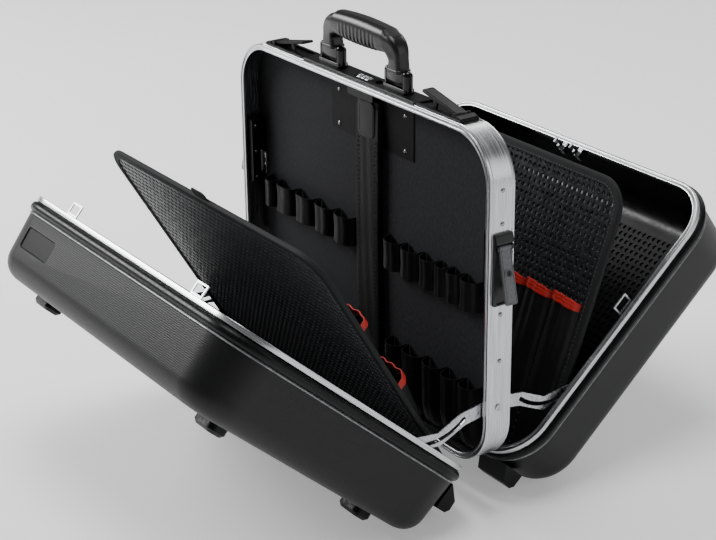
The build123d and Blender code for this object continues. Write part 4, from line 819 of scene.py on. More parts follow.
def bulged_row(start, pitches, bulge, height, chance, closed_foot, columns=16, levels=12):
    """Open sheet of a row of bulging loops in (x, out, z); the sheet touches the board between loops."""
    bm = bmesh.new()
    uv = bm.loops.layers.uv.new("UVMap")
    plan = [(start - VALLEY / 2, 0.0, 0, 0.0)]
    x = start
    for number, pitch in enumerate(pitches):
        first, last = x + VALLEY / 2, x + pitch - VALLEY / 2
        for k in range(columns + 1):
            share = k / columns
            lean = 1 - abs(2 * share - 1) ** 2.8
            plan.append((first + (last - first) * share, lean ** 0.42, number, share))
        x += pitch
    plan.append((x + VALLEY / 2, 0.0, len(pitches) - 1, 1.0))
    traits = [(chance.uniform(0.86, 0.99), chance.uniform(-1, 1), chance.uniform(0, 6.28)) for _ in pitches]
    grid = []
    for level in range(levels + 1):
        up = level / levels
        row = []
        for px, lean, number, share in plan:
            full, skew, phase = traits[number]
            swell = full
            if closed_foot:
                swell *= 0.45 + 0.55 * min(1.0, up / 0.35) ** 0.7
            swell *= 1.0 - 0.05 * math.sin(math.pi * up)
            out = bulge * lean * swell
            out += 0.35 * math.sin(3 * 6.28 * share + phase) * lean
            droop = -1.1 * lean * up * (1 + 0.4 * skew) if up > 0.5 else 0.6 * lean * (1 - up)
            side = 0.7 * skew * lean * math.sin(math.pi * up)
            row.append(bm.verts.new((px + side, max(out, 0.0), up * height + droop)))
        grid.append(row)
    run = [0.0]
    for a, b in zip(grid[0], grid[0][1:]):
        run.append(run[-1] + (b.co - a.co).length)
    for i in range(levels):
        for j in range(len(plan) - 1):
            face = bm.faces.new((grid[i][j], grid[i][j + 1], grid[i + 1][j + 1], grid[i + 1][j]))
            heights = (i * height / levels, (i + 1) * height / levels)
            for loop, (a, b) in zip(face.loops, ((j, 0), (j + 1, 0), (j + 1, 1), (j, 1))):
                loop[uv].uv = (run[a] * MM, heights[b] * MM)
    widest = max(sum((b.co - a.co).length for a, b in zip(row, row[1:])) for row in grid)
    return bm, widest


def thicken(bm, thickness):
    """Gives an open sheet its thickness on its inner side, with closed edges."""
    bmesh.ops.recalc_face_normals(bm, faces=bm.faces)
    faces = bm.faces[:]
    if sum(f.normal.y for f in faces) < 0:
        bmesh.ops.reverse_faces(bm, faces=faces)
    bmesh.ops.solidify(bm, geom=faces, thickness=thickness)
    bmesh.ops.recalc_face_normals(bm, faces=bm.faces)
    return bm


def grow(bm, thickness, inner):
    """Gives sheets that are wound alike their thickness towards their inner side."""
    bm.normal_update()
    if sum(face.normal.dot(inner) for face in bm.faces) < 0:
        bmesh.ops.reverse_faces(bm, faces=bm.faces[:])
    bmesh.ops.solidify(bm, geom=bm.faces[:], thickness=-thickness)
    bmesh.ops.recalc_face_normals(bm, faces=bm.faces)


def sheet_area(bm):
    return sum(face.calc_area() for face in bm.faces)


class TOOLCASE_OT_tool_rows(bpy.types.Operator):
    """Vinyl loops and pockets sewn along the tool board"""

    bl_idname = "toolcase.tool_rows"
    bl_label = "Tool Loops and Pockets"

    def execute(self, context):
        size = context.scene.tool_case
        chance = random.Random(size.seed)
        sides = {-1: "left", 1: "right"}
        rows = [(f"{sides[side]}_tool_loops", side, start, pitches, LOOP_BULGE, LOOP_LOW, LOOP_HEIGHT, False)
                for side, start, pitches in LOOP_ROWS]
        rows += [(f"{sides[side]}_tool_pockets", side, 40.0, POCKET_PITCHES, POCKET_BULGE, POCKET_LOW,
                  POCKET_HEIGHT, True) for side in (-1, 1)]
        for node, side, start, pitches, bulge, low, height, closed_foot in rows:
            bm, width = bulged_row(start, pitches, bulge - 1.0, height, chance, closed_foot)
            area = sheet_area(bm)
            thicken(bm, -1.3)
            if closed_foot:
                self.sew_feet(bm, start, pitches, bulge)
            mirrored = Matrix.Diagonal((side, -1, 1, 1))
            place = STANDING @ shift(0, BOARD_FRONT_Y - 1.35, low) @ mirrored
            bmesh.ops.transform(bm, matrix=place, verts=bm.verts)
            bmesh.ops.recalc_face_normals(bm, faces=bm.faces)
            piece = finish("sewn_" + node, bm, Matrix.Identity(4), vinyl(), "frame", [node], 60)
        return {"FINISHED"}

    def sew_feet(self, bm, start, pitches, bulge):
        """Closes the pockets' feet with a gathered bottom each."""
        x = start
        for pitch in pitches:
            first, last = x + VALLEY / 2 + 0.6, x + pitch - VALLEY / 2 - 0.6
            steps = 12
            outline = []
            for k in range(steps + 1):
                share = k / steps
                lean = (1 - abs(2 * share - 1) ** 2.8) ** 0.42
                outline.append((first + (last - first) * share, 0.42 * (bulge - 1) * lean * 0.9))
            low = [bm.verts.new((px, py, 0.8)) for px, py in outline]
            high = [bm.verts.new((px, py, 2.2)) for px, py in outline]
            bm.faces.new(low)
            bm.faces.new(high)
            for i in range(len(outline)):
                j = (i + 1) % len(outline)
                bm.faces.new((low[i], low[j], high[j], high[i]))
            x += pitch


class TOOLCASE_OT_centre_strap(bpy.types.Operator):
    """Webbing strap down the board with its sewn tab"""

    bl_idname = "toolcase.centre_strap"
    bl_label = "Centre Strap"

    def execute(self, context):
        size = context.scene.tool_case
        low, high = 6.0, 352.0
        backing = bmesh.new()
        levels = 40
        rows = []
        for i in range(levels + 1):
            z = low + (high - low) * i / levels
            pull = 1 - 0.22 * max(0.0, (z - 300) / 52) - 0.1 * max(0.0, (40 - z) / 40)
            sway = 0.8 * math.sin(z / 38.0)
            section = soften([(-20 + sway, 8, 0), (-20.5 + sway, 8 - 7.4 * pull, 2.0),
                              (20.5 + sway, 8 - 7.4 * pull, 2.0), (20 + sway, 8, 0)], 3)
            rows.append([backing.verts.new((p.x, p.y, z)) for p in section])
        for a, b in zip(rows, rows[1:]):
            for j in range(len(a)):
                k = (j + 1) % len(a)
                backing.faces.new((a[j], a[k], b[k], b[j]))
        backing.faces.new(rows[0])
        backing.faces.new(rows[-1])
        bmesh.ops.recalc_face_normals(backing, faces=backing.faces)
        finish("strap_backing", backing, STANDING, vinyl(), "frame", ["centre_strap"])
        self.webbing_face(low, high)
        self.tab(size)
        return {"FINISHED"}

    def webbing_face(self, low, high):
        bm = bmesh.new()
        uv = bm.loops.layers.uv.new("UVMap")
        levels, columns = 60, 14
        grid = []
        for i in range(levels + 1):
            z = low + (high - 8 - low) * i / levels
            pull = 1 - 0.22 * max(0.0, (z - 300) / 52) - 0.1 * max(0.0, (40 - z) / 40)
            sway = 0.8 * math.sin(z / 38.0)
            row = []
            for j in range(columns + 1):
                across = 2 * j / columns - 1
                edge = 0.5 * (1 - abs(across) ** 8)
                y = 8 - 7.4 * pull - edge - 0.25 * math.sin(across * 9 + z / 60)
                row.append(bm.verts.new((across * 20.6 + sway, y, z)))
            grid.append(row)
        for i in range(levels):
            for j in range(columns):
                face = bm.faces.new((grid[i][j], grid[i][j + 1], grid[i + 1][j + 1], grid[i + 1][j]))
                for loop in face.loops:
                    loop[uv].uv = (loop.vert.co.x * MM, loop.vert.co.z * MM)
        grow(bm, 0.9, Vector((0, 1, 0)))
        finish("strap_webbing", bm, STANDING, webbing("woven_grey_strap", "#08090A", "#121314"), "frame",
               crease=60)

    def tab(self, size):
        path = rounded_path(31, 42, 8, 6, (0, 330))
        profile = soften([(2, 0, 0), (0, 0, 0.3), (0, 1.4, 0.6), (2, 1.6, 0)], 3, closed=False)
        place = STANDING @ shift(0, 1.5, 0) @ turn(90, "X")
        finish("strap_tab", sweep(path, 8, profile, closed=False), place,
               surface("smooth_grey_vinyl", "#1C1D1F", "#232426", 2.5, bump=0.15, rough=(0.45, 0.6),
                       **{"Specular IOR Level": 0.25}), "frame")
        spots = []
        for x in (-12.6, 12.6):
            spots += [spot(STANDING, (x, -0.15, z), (0, -1, 0), (0, 0, 1)) for z in steps_between(316, 344, 3.4)]
        for z in (313.5,):
            spots += [spot(STANDING, (x, -0.15, z), (0, -1, 0)) for x in steps_between(-11, 11, 3.4)]
        for x in (-17.6, -14.6, 14.6, 17.6):
            for z in steps_between(12, 306, size.mm("stitch_pitch")):
                spots.append(spot(STANDING, (x + 0.8 * math.sin(z / 38.0), 0.05, z), (0, -1, 0), (0, 0, 1)))
        set_on_points("strap_stitches", spots, stitch(size.mm("stitch_length") * 0.75), thread("black"), "frame")


def steps_between(start, end, pitch):
    count = max(1, round((end - start) / pitch))
    return [start + (end - start) * i / count for i in range(count + 1)]


def stitch(length):
    """One sewn stitch, a small bolster of a few faces."""
    bm = bmesh.new()
    rings = []
    for x, thick in ((-0.5, 0.12), (-0.3, 0.36), (0.3, 0.36), (0.5, 0.12)):
        angles = [math.pi * k / 3 for k in range(6)]
        rings.append([bm.verts.new((x * length, 1.3 * thick * math.cos(a), thick * math.sin(a))) for a in angles])
    for a, b in zip(rings, rings[1:]):
        for i in range(6):
            j = (i + 1) % 6
            bm.faces.new((a[i], a[j], b[j], b[i]))
    bm.faces.new(rings[0])
    bm.faces.new(rings[-1])
    bmesh.ops.recalc_face_normals(bm, faces=bm.faces)
    return bm


# ---------------------------------------------------------------- handle, latches and lock


def super_ellipse(half_a, half_b, power, steps):
    points = []
    for i in range(steps):
        angle = 2 * math.pi * i / steps
        c, s = math.cos(angle), math.sin(angle)
        points.append((half_a * math.copysign(abs(c) ** (2 / power), c),
                       half_b * math.copysign(abs(s) ** (2 / power), s), angle))
    return points


def handle_stations():
    """Outer and inner side points of the handle, its half depth and its squareness, from foot to foot."""
    half = []
    for i in range(6):
        share = i / 5
        half.append(((73 - 2 * share, 21 + 15 * share), (51 + 2 * share, 21 + 10 * share), 9.0, 5.0))
    for i in range(1, 12):
        share = i / 12
        angle = math.radians(180 - 86 * share)
        outer = (47 - 24 * math.cos(angle), 37.8 + 24 * math.sin(angle))
        inner = (46 - 7 * math.cos(angle), 31 + 7.4 * math.sin(angle))
        half.append((outer, inner, 9.0 + 3.6 * share, 5.0 - 2.4 * share))
    grip = []
    for i in range(93):
        x = 46 - i
        top = 67 - 5 * (x / 71) ** 2
        low = 38.4 - 2.6 * (1 - (x / 53) ** 2)
        grip.append(((x, top), (x, low), 12.6 + 0.9 * (1 - (x / 46) ** 2), 2.6))
    mirrored = [((-o[0], o[1]), (-n[0], n[1]), d, p) for o, n, d, p in reversed(half)]
    return half + grip + mirrored


class TOOLCASE_OT_handle(bpy.types.Operator):
    """Moulded carrying handle with finger ribs, a matt top and hinged feet"""

    bl_idname = "toolcase.handle"
    bl_label = "Carrying Handle"

    def execute(self, context):
        size = context.scene.tool_case
        stations = handle_stations()
        steps = 44
        bm = bmesh.new()
        rows, strip_rows = [], []
        for outer, inner, depth, power in stations:
            outer, inner = Vector(outer), Vector(inner)
            middle = (outer + inner) / 2
            out = (outer - inner).normalized()
            row, strip = [], []
            for a, b, angle in super_ellipse((outer - inner).length / 2, depth, power, steps):
                grow = 0.0
                if abs(middle.x) < 38 and inner.x == outer.x:
                    under = min(1.0, max(0.0, 3 * (0.3 - math.cos(angle))))
                    slanted = middle.x + 0.25 * b
                    wave = max(0.0, math.cos(2 * math.pi * slanted / size.mm("rib_pitch")))
                    fade = min(1.0, (38 - abs(middle.x)) / 9)
                    grow = size.mm("rib_height") * (2.2 * wave ** 0.7 - 1.1) * under * fade
                place = middle + out * (a + grow * math.cos(angle))
                b += grow * math.sin(angle)
                row.append(bm.verts.new((place.x, b, place.y)))
                if math.cos(angle) > 0.8 and abs(b) < 6.2:
                    strip.append((b, a, middle, out))
            rows.append(row)
            if abs(outer.x) < 60:
                strip_rows.append(sorted(strip, key=lambda item: item[0]))
        for a, b in zip(rows, rows[1:]):
            for j in range(steps):
                k = (j + 1) % steps
                bm.faces.new((a[j], a[k], b[k], b[j]))
        bm.faces.new(rows[0])
        bm.faces.new(rows[-1])
        bmesh.ops.recalc_face_normals(bm, faces=bm.faces)
        for side in (-1, 1):
            join(bm, self.foot(side * 62))
        top = STANDING @ shift(0, 0, PLATE_TOP_Z)
        finish("moulded_handle", bm, top, handle_plastic(), "handle", ["handle_grip"], 50)
        self.matt_strip(strip_rows, top)
        return {"FINISHED"}

    def matt_strip(self, strip_rows, place):
        """Raised matt field along the handle's top."""
        count = min(len(r) for r in strip_rows)
        bm = bmesh.new()
        loops = []
        for row in strip_rows:
            spare = len(row) - count
            row = row[spare // 2:spare // 2 + count]
            high = [(middle + out * (a + 0.4), b) for b, a, middle, out in row]
            low = [(middle + out * (a - 0.5), b) for b, a, middle, out in reversed(row)]
            loops.append([bm.verts.new((p.x, b, p.y)) for p, b in high + low])
        for a, b in zip(loops, loops[1:]):
            for j in range(len(a)):
                k = (j + 1) % len(a)
                bm.faces.new((a[j], a[k], b[k], b[j]))
        bm.faces.new(loops[0])
        bm.faces.new(loops[-1])
        bmesh.ops.recalc_face_normals(bm, faces=bm.faces)
        finish("matt_handle_top", bm, place, matte_nylon(), "handle")

    def foot(self, x):
        """Barrelled foot on the pin with the collar where the leg starts."""
        curve = [(5.6 * math.cos(a), 12.4 + 5.6 * math.sin(a)) for a in
                 [math.radians(180 + 180 * i / 14) for i in range(15)]]
        foot = prism(curve + [(5.6, 22.6), (-5.6, 22.6)], x - 15, x + 15, 0.8)
        collar = sweep(rounded_path(24, 19, 4.5, 5), 4.5,
                       soften([(3, 20.6, 0), (0, 20.6, 1.2), (0, 24.0, 1.2), (2.4, 25.0, 0)], 3, closed=False),
                       closed=False)
        return join(foot, collar, shift(x, 0, 0))


class TOOLCASE_OT_draw_levers(bpy.types.Operator):
    """Draw levers with a sunk outline and their hooks, and the key barrels of the side ones"""

    bl_idname = "toolcase.draw_levers"
    bl_label = "Draw Levers"

    def execute(self, context):
        for name, (_, side, _) in LATCHES.items():
            finish_name = "draw_lever_" + name
            is_side = name.startswith("side")
            material = grey_zinc() if is_side else black_zinc()
            path = rounded_path(62.6, 15, 2.2, 5, (28.7, 0))
            levels = [(0.6, 2.8), (0, 3.3), (0, 5.1), (0.35, 5.65), (0.8, 5.8), (1.5, 5.8), (1.7, 5.35),
                      (2.1, 5.35), (2.2, 5.8)]
            lever = sweep(path, 2.2, [Vector(p) for p in levels], closed=False)
            lever_hook = self.hook(hook_middle(name))
            join(lever, lever_hook, shift(0, side * 5.25, 0))
            join(lever, prism([(2.55 * math.cos(a), 4.3 + 2.55 * math.sin(a)) for a in
                               [2 * math.pi * i / 20 for i in range(20)]], -7.4, 7.4, 0.3), turn(90, "Z"))
            if is_side:
                collar = [(0, 2.6), (5.2, 2.6), (5.2, 6.5), (4.9, 6.8), (4.5, 6.8), (4.4, 6.5), (4.0, 6.5),
                          (3.9, 6.8), (3.3, 6.8), (3.3, 5.0), (0, 5.0)]
                join(lever, lathe(collar, 36), shift(27, 0, 0))
            finish(finish_name, lever, raised(name), material, f"{name}_lever", [f"{name}_lever"])
        return {"FINISHED"}

    def hook(self, middle):
        nose = [(middle - 3, 3.3), (middle - 3, -11), (middle - 1, -13), (middle + 1, -13), (middle + 3, -11),
                (middle + 3, 3.3)]
        bar = prism(nose, -1.25, 1.25, 0.3)
        swapped = join(bmesh.new(), bar, Matrix(((0, 1, 0, 0), (1, 0, 0, 0), (0, 0, 1, 0), (0, 0, 0, 1))))
        # Changing two axes over mirrors the bar, so its faces are turned outwards again.
        bmesh.ops.recalc_face_normals(swapped, faces=swapped.faces)
        return swapped


class TOOLCASE_OT_number_wheels(bpy.types.Operator):
    """Knurled number wheels with their ten digits"""

    bl_idname = "toolcase.number_wheels"
    bl_label = "Number Wheels"

    def execute(self, context):
        for index in range(3):
            x = (index - 1) * 8.0
            centre = STANDING @ shift(x, 0, 373.7)
            profile = [(0, -3.2), (4.4, -3.2), (5.1, -2.7), (5.35, -2.2), (5.35, 2.2), (5.1, 2.7), (4.4, 3.2),
                       (0, 3.2)]
            wheel = lathe(profile, 40)
            for k in range(10):
                ridge = box(4.9, 5.78, -0.35, 0.35, -2.9, 2.9, 0.18, 1)
                join(wheel, ridge, turn(36 * k + 18, "Z"))
            body = f"number_wheel_{index + 1}"
            finish(f"knurled_wheel_{index + 1}", wheel, centre @ turn(90, "Y"), bright_steel(), body,
                   [body])
            digits = bmesh.new()
            for k in range(10):
                curve = bpy.data.curves.new("digit", "FONT")
                curve.body = str(k)
                curve.size = 3.4
                curve.extrude = 0.06
                curve.align_x = "CENTER"
                curve.align_y = "CENTER"
                curve.resolution_u = 2
                holder = bpy.data.objects.new("digit", curve)
                bpy.context.scene.collection.objects.link(holder)
                mesh = plain_mesh(holder)
                glyph = bmesh.new()
                glyph.from_mesh(mesh)
                bpy.data.objects.remove(holder)
                bpy.data.meshes.remove(mesh)
                join(digits, glyph, turn(36 * k, "X") @ shift(0, 0, 5.36))
            finish(f"wheel_digits_{index + 1}", digits, centre, enamel_digits(), body)
        return {"FINISHED"}


# ---------------------------------------------------------------- shells


def shell_profile():
    """Section of a tray shell from its outer floor round the lip to its inner floor."""
    slope = math.tan(math.radians(5))
    bead = [(3.0 - 6.2 * math.cos(t), 13 + 6.2 * math.sin(t), 0) for t in
            [math.radians(76 - 19 * i) for i in range(9)]]
    outer = [(60, 93, 0), (1.2 + 73 * slope, 93, 25), (1.2, 21.6, 0.3), (-0.3, 21.2, 0.3), (-0.3, 20.2, 0.3)]
    outer += bead + [(1.2, 6.4, 0), (1.2, 2.6, 0)]
    inner = [(4.2, 2.6, 0), (4.2, 20, 2), (4.2 + 70 * slope, 90, 22), (60, 90, 0)]
    points = soften(outer + inner, 8, closed=False)
    floor_inset = 34.0
    points[0] = Vector((floor_inset, 93))
    points[-1] = Vector((floor_inset, 90))
    return points


class TOOLCASE_OT_shells(bpy.types.Operator):
    """Moulded tray shells and their grooved metal rims"""

    bl_idname = "toolcase.shells"
    bl_label = "Tray Shells"

    def execute(self, context):
        path = rounded_path(CASE_WIDTH, CASE_HEIGHT, CORNER_RADIUS, 18, (0, CASE_HEIGHT / 2))
        for name in ("front", "rear"):
            shell = sweep(path, CORNER_RADIUS, shell_profile(), closed=False)
            if name == "front":
                shell = carve(shell, self.label_cutter())
            piece = finish(f"moulded_{name}_shell", shell, TRAYS[name], moulded_abs(), f"{name}_shell",
                           [f"{name}_shell"], 24)
            self.line_inside(piece, TRAYS[name])
            self.polish_lip(piece, TRAYS[name])
            rim = soften([(0, 0.4, 0.6), (2.4, 0.4, 0.3), (2.4, 1.6, 0), (4.6, 1.6, 0), (4.6, 0.4, 0.3),
                          (7, 0.4, 0.6), (7, 6, 0.5), (4.2, 6, 0), (4.2, 2.6, 0), (1.2, 2.6, 0), (1.2, 6, 0),
                          (0, 6, 0.3)], 3)
            finish(f"grooved_{name}_rim", sweep(path, CORNER_RADIUS, rim), TRAYS[name], brushed_aluminium(),
                   f"{name}_shell", [f"{name}_rim"], 30)
        return {"FINISHED"}

    def label_cutter(self):
        """Shallow bare recess on the front shell's upper wall."""
        slope = math.tan(math.radians(5))
        block = sweep(rounded_path(66, 25, 4, 5), 4, [Vector((1.1, -1.4)), Vector((0, 0.2)), Vector((0, 3))],
                      closed=False)
        lean = shift(-153, CASE_HEIGHT - 1.2 - 27 * slope, 47) @ turn(5, "X") @ turn(-90, "X")
        bmesh.ops.transform(block, matrix=lean, verts=block.verts)
        return block

    def polish_lip(self, piece, place):
        """Paints a highlight on the lip's lower edge, 20 mm from the rim, and gives the bead below it and the label
        recess the smooth finish.
        """
        piece.data.materials.append(polished_abs())
        piece.data.materials.append(smooth_abs())
        to_tray = place.inverted()
        for face in piece.data.polygons:
            middle = to_tray @ (face.center / MM)
            across = middle.xy - Vector((0, CASE_HEIGHT / 2))
            over = Vector((max(0, abs(across.x) - HALF_WIDTH + CORNER_RADIUS),
                           max(0, abs(across.y) - CASE_HEIGHT / 2 + CORNER_RADIUS)))
            outside = over.length > CORNER_RADIUS - 3.2
            if face.material_index == 0 and outside and middle.z < 21.4:
                # Index 2 is the painted highlight on the lip's lower edge, index 3 the smooth bead.
                face.material_index = 2 if middle.z > 19.4 else 3
            if face.material_index == 0 and self.in_recess(face, middle):
                face.material_index = 3

    def in_recess(self, face, middle):
        """True on the label recess's own faces, which lie below the wall's surface."""
        slope = math.tan(math.radians(5))
        wall = CASE_HEIGHT - 1.2 - (middle.z - 20) * slope
        near = abs(middle.x + 153) < 33.2 and abs(middle.z - 47) < 13
        return near and face.area < 2000 * MM * MM and 0.2 < wall - middle.y < 1.8

    def line_inside(self, piece, place):
        """Gives the faces that look into the tray the sheet's smooth side."""
        piece.data.materials.append(tray_lining())
        middle = place @ Vector((0, CASE_HEIGHT / 2, 40)) * MM
        out = (place.to_3x3() @ Vector((0, 0, 1))).normalized()
        for face in piece.data.polygons:
            towards = middle - face.center
            depth = (face.center - place @ Vector((0, 0, 0)) * MM).dot(out) / MM
            if depth > 2.7 and face.normal.dot(towards) > 0 and face.normal.dot(out) < 0.2:
                face.material_index = 1


# ---------------------------------------------------------------- pallets


def dimple_cell(width, height, hole, thickness, both):
    """One cell of the perforated sheet: a flat land, a coned eight-sided hole and its wall."""
    bm = bmesh.new()
    corners = [(-1, -1), (0, -1), (1, -1), (1, 0), (1, 1), (0, 1), (-1, 1), (-1, 0)]

    def ring(radius, level):
        angles = [math.radians(225 + 45 * i) for i in range(8)]
        return [bm.verts.new((radius * math.cos(a), radius * math.sin(a), level)) for a in angles]

    def border(level):
        return [bm.verts.new((cx * width / 2, cy * height / 2, level)) for cx, cy in corners]

    half = thickness / 2
    front = [border(half), ring(hole / 2, half), ring(hole * 0.36, 0.15 if both else half - 1.6)]
    stacks = [front]
    if both:
        stacks.append([border(-half), ring(hole / 2, -half), ring(hole * 0.36, -0.15)])
    for number, stack in enumerate(stacks):
        for a, b in zip(stack, stack[1:]):
            for i in range(8):
                j = (i + 1) % 8
                corners_now = (a[i], a[j], b[j], b[i])
                bm.faces.new(corners_now if number == 0 else corners_now[::-1])
    if both:
        a, b = stacks[0][2], stacks[1][2]
        for i in range(8):
            j = (i + 1) % 8
            bm.faces.new((a[i], a[j], b[j], b[i]))
    else:
        bm.faces.new(front[2])
        bm.faces.new(border(-half)[::-1])
    return bm


def wall_up(mesh):
    """Welds the cells of a sheet and closes its outer edge between front and back."""
    bm = bmesh.new()
    bm.from_mesh(mesh)
    bmesh.ops.remove_doubles(bm, verts=bm.verts, dist=0.01 * MM)
    rim = [edge for edge in bm.edges if edge.is_boundary]
    ends = {vert for edge in rim for vert in edge.verts}
    back = [vert for vert in ends if vert.co.z < 0]
    under = {vert: min(back, key=lambda other: (other.co.xy - vert.co.xy).length_squared)
             for vert in ends if vert.co.z > 0}
    for edge in rim:
        a, b = edge.verts
        if a in under:
            bm.faces.new((a, b, under[b], under[a]))
    bmesh.ops.recalc_face_normals(bm, faces=bm.faces)
    bm.to_mesh(mesh)
    bm.free()


def perforated_field(name, width, height, corner, size, thickness, both, place, material, body, replaces):
    cell = temporary("cell", dimple_cell(size.mm("hole_pitch"), size.mm("row_pitch"), size.mm("hole_size"),
                                         thickness, both))
    carrier = bpy.data.objects.new("field", bpy.data.meshes.new("field"))
    bpy.context.scene.collection.objects.link(carrier)
    mesh = run_tree(carrier, perforation_tree(), {
        "Cell": cell, "Width": width * MM, "Height": height * MM, "Corner": corner * MM,
        "Pitch Along": size.hole_pitch, "Pitch Up": size.row_pitch, "Material": material})
    for helper in (carrier, cell):
        bpy.data.objects.remove(helper)
    wall_up(mesh)
    mesh.transform(Matrix.Translation(place.translation * MM) @ place.to_3x3().to_4x4())
    return settle(name, mesh, material, body, replaces, 25)


POCKET_ROWS = {
    "front": [(3, 20.0, 136.0, 3.0, 19.0), (3, 156.0, 226.0, 3.0, 15.0)],
    "rear": [(9, 20.0, 188.0, 3.0, 11.0)],
}
BOARD_HALF = 2.0
ELASTIC_HEIGHT = 11.0


def pocket_spans(name, count):
    half = PALLET_SIZE[0] / 2 - BINDING_WIDTH + (4 if name == "front" else -3)
    pitch = 2 * half / count
    return [(i * pitch - half, (i + 1) * pitch - half - 3) for i in range(count)]


class TOOLCASE_OT_handle_ears(bpy.types.Operator):
    """Glossy round-topped ears that hold the handle's feet"""

    bl_idname = "toolcase.handle_ears"
    bl_label = "Handle Ears"

    def execute(self, context):
        dome = [(0, 0.2), (5.75, 0.2), (5.75, 19.25)]
        dome += [(5.75 * math.cos(a), 19.25 + 5.75 * math.sin(a)) for a in
                 [math.radians(9 * i) for i in range(1, 10)]]
        dome += [(0, 25.0)]
        bm = bmesh.new()
        for x in (-62, 62):
            join(bm, sweep(rounded_path(41, 13.6, 2.4, 4, (x, 0)), 2.4,
                           soften([(1, 0, 0), (0, 0, 0.2), (0, 5.6, 0.9), (2, 5.6, 0)], 3, closed=False),
                           closed=False))
            for side in (-1, 1):
                post = lathe(dome, 40)
                for vert in post.verts:
                    vert.co.x = side * 1.25 * max(0.0, side * vert.co.x)
                join(bm, post, shift(x + side * 15.4, 0, 0))
        finish("rounded_handle_ears", bm, STANDING @ shift(0, 0, PLATE_TOP_Z), glossy_enamel(), "frame",
               ["handle_mounts"], 50)
        return {"FINISHED"}


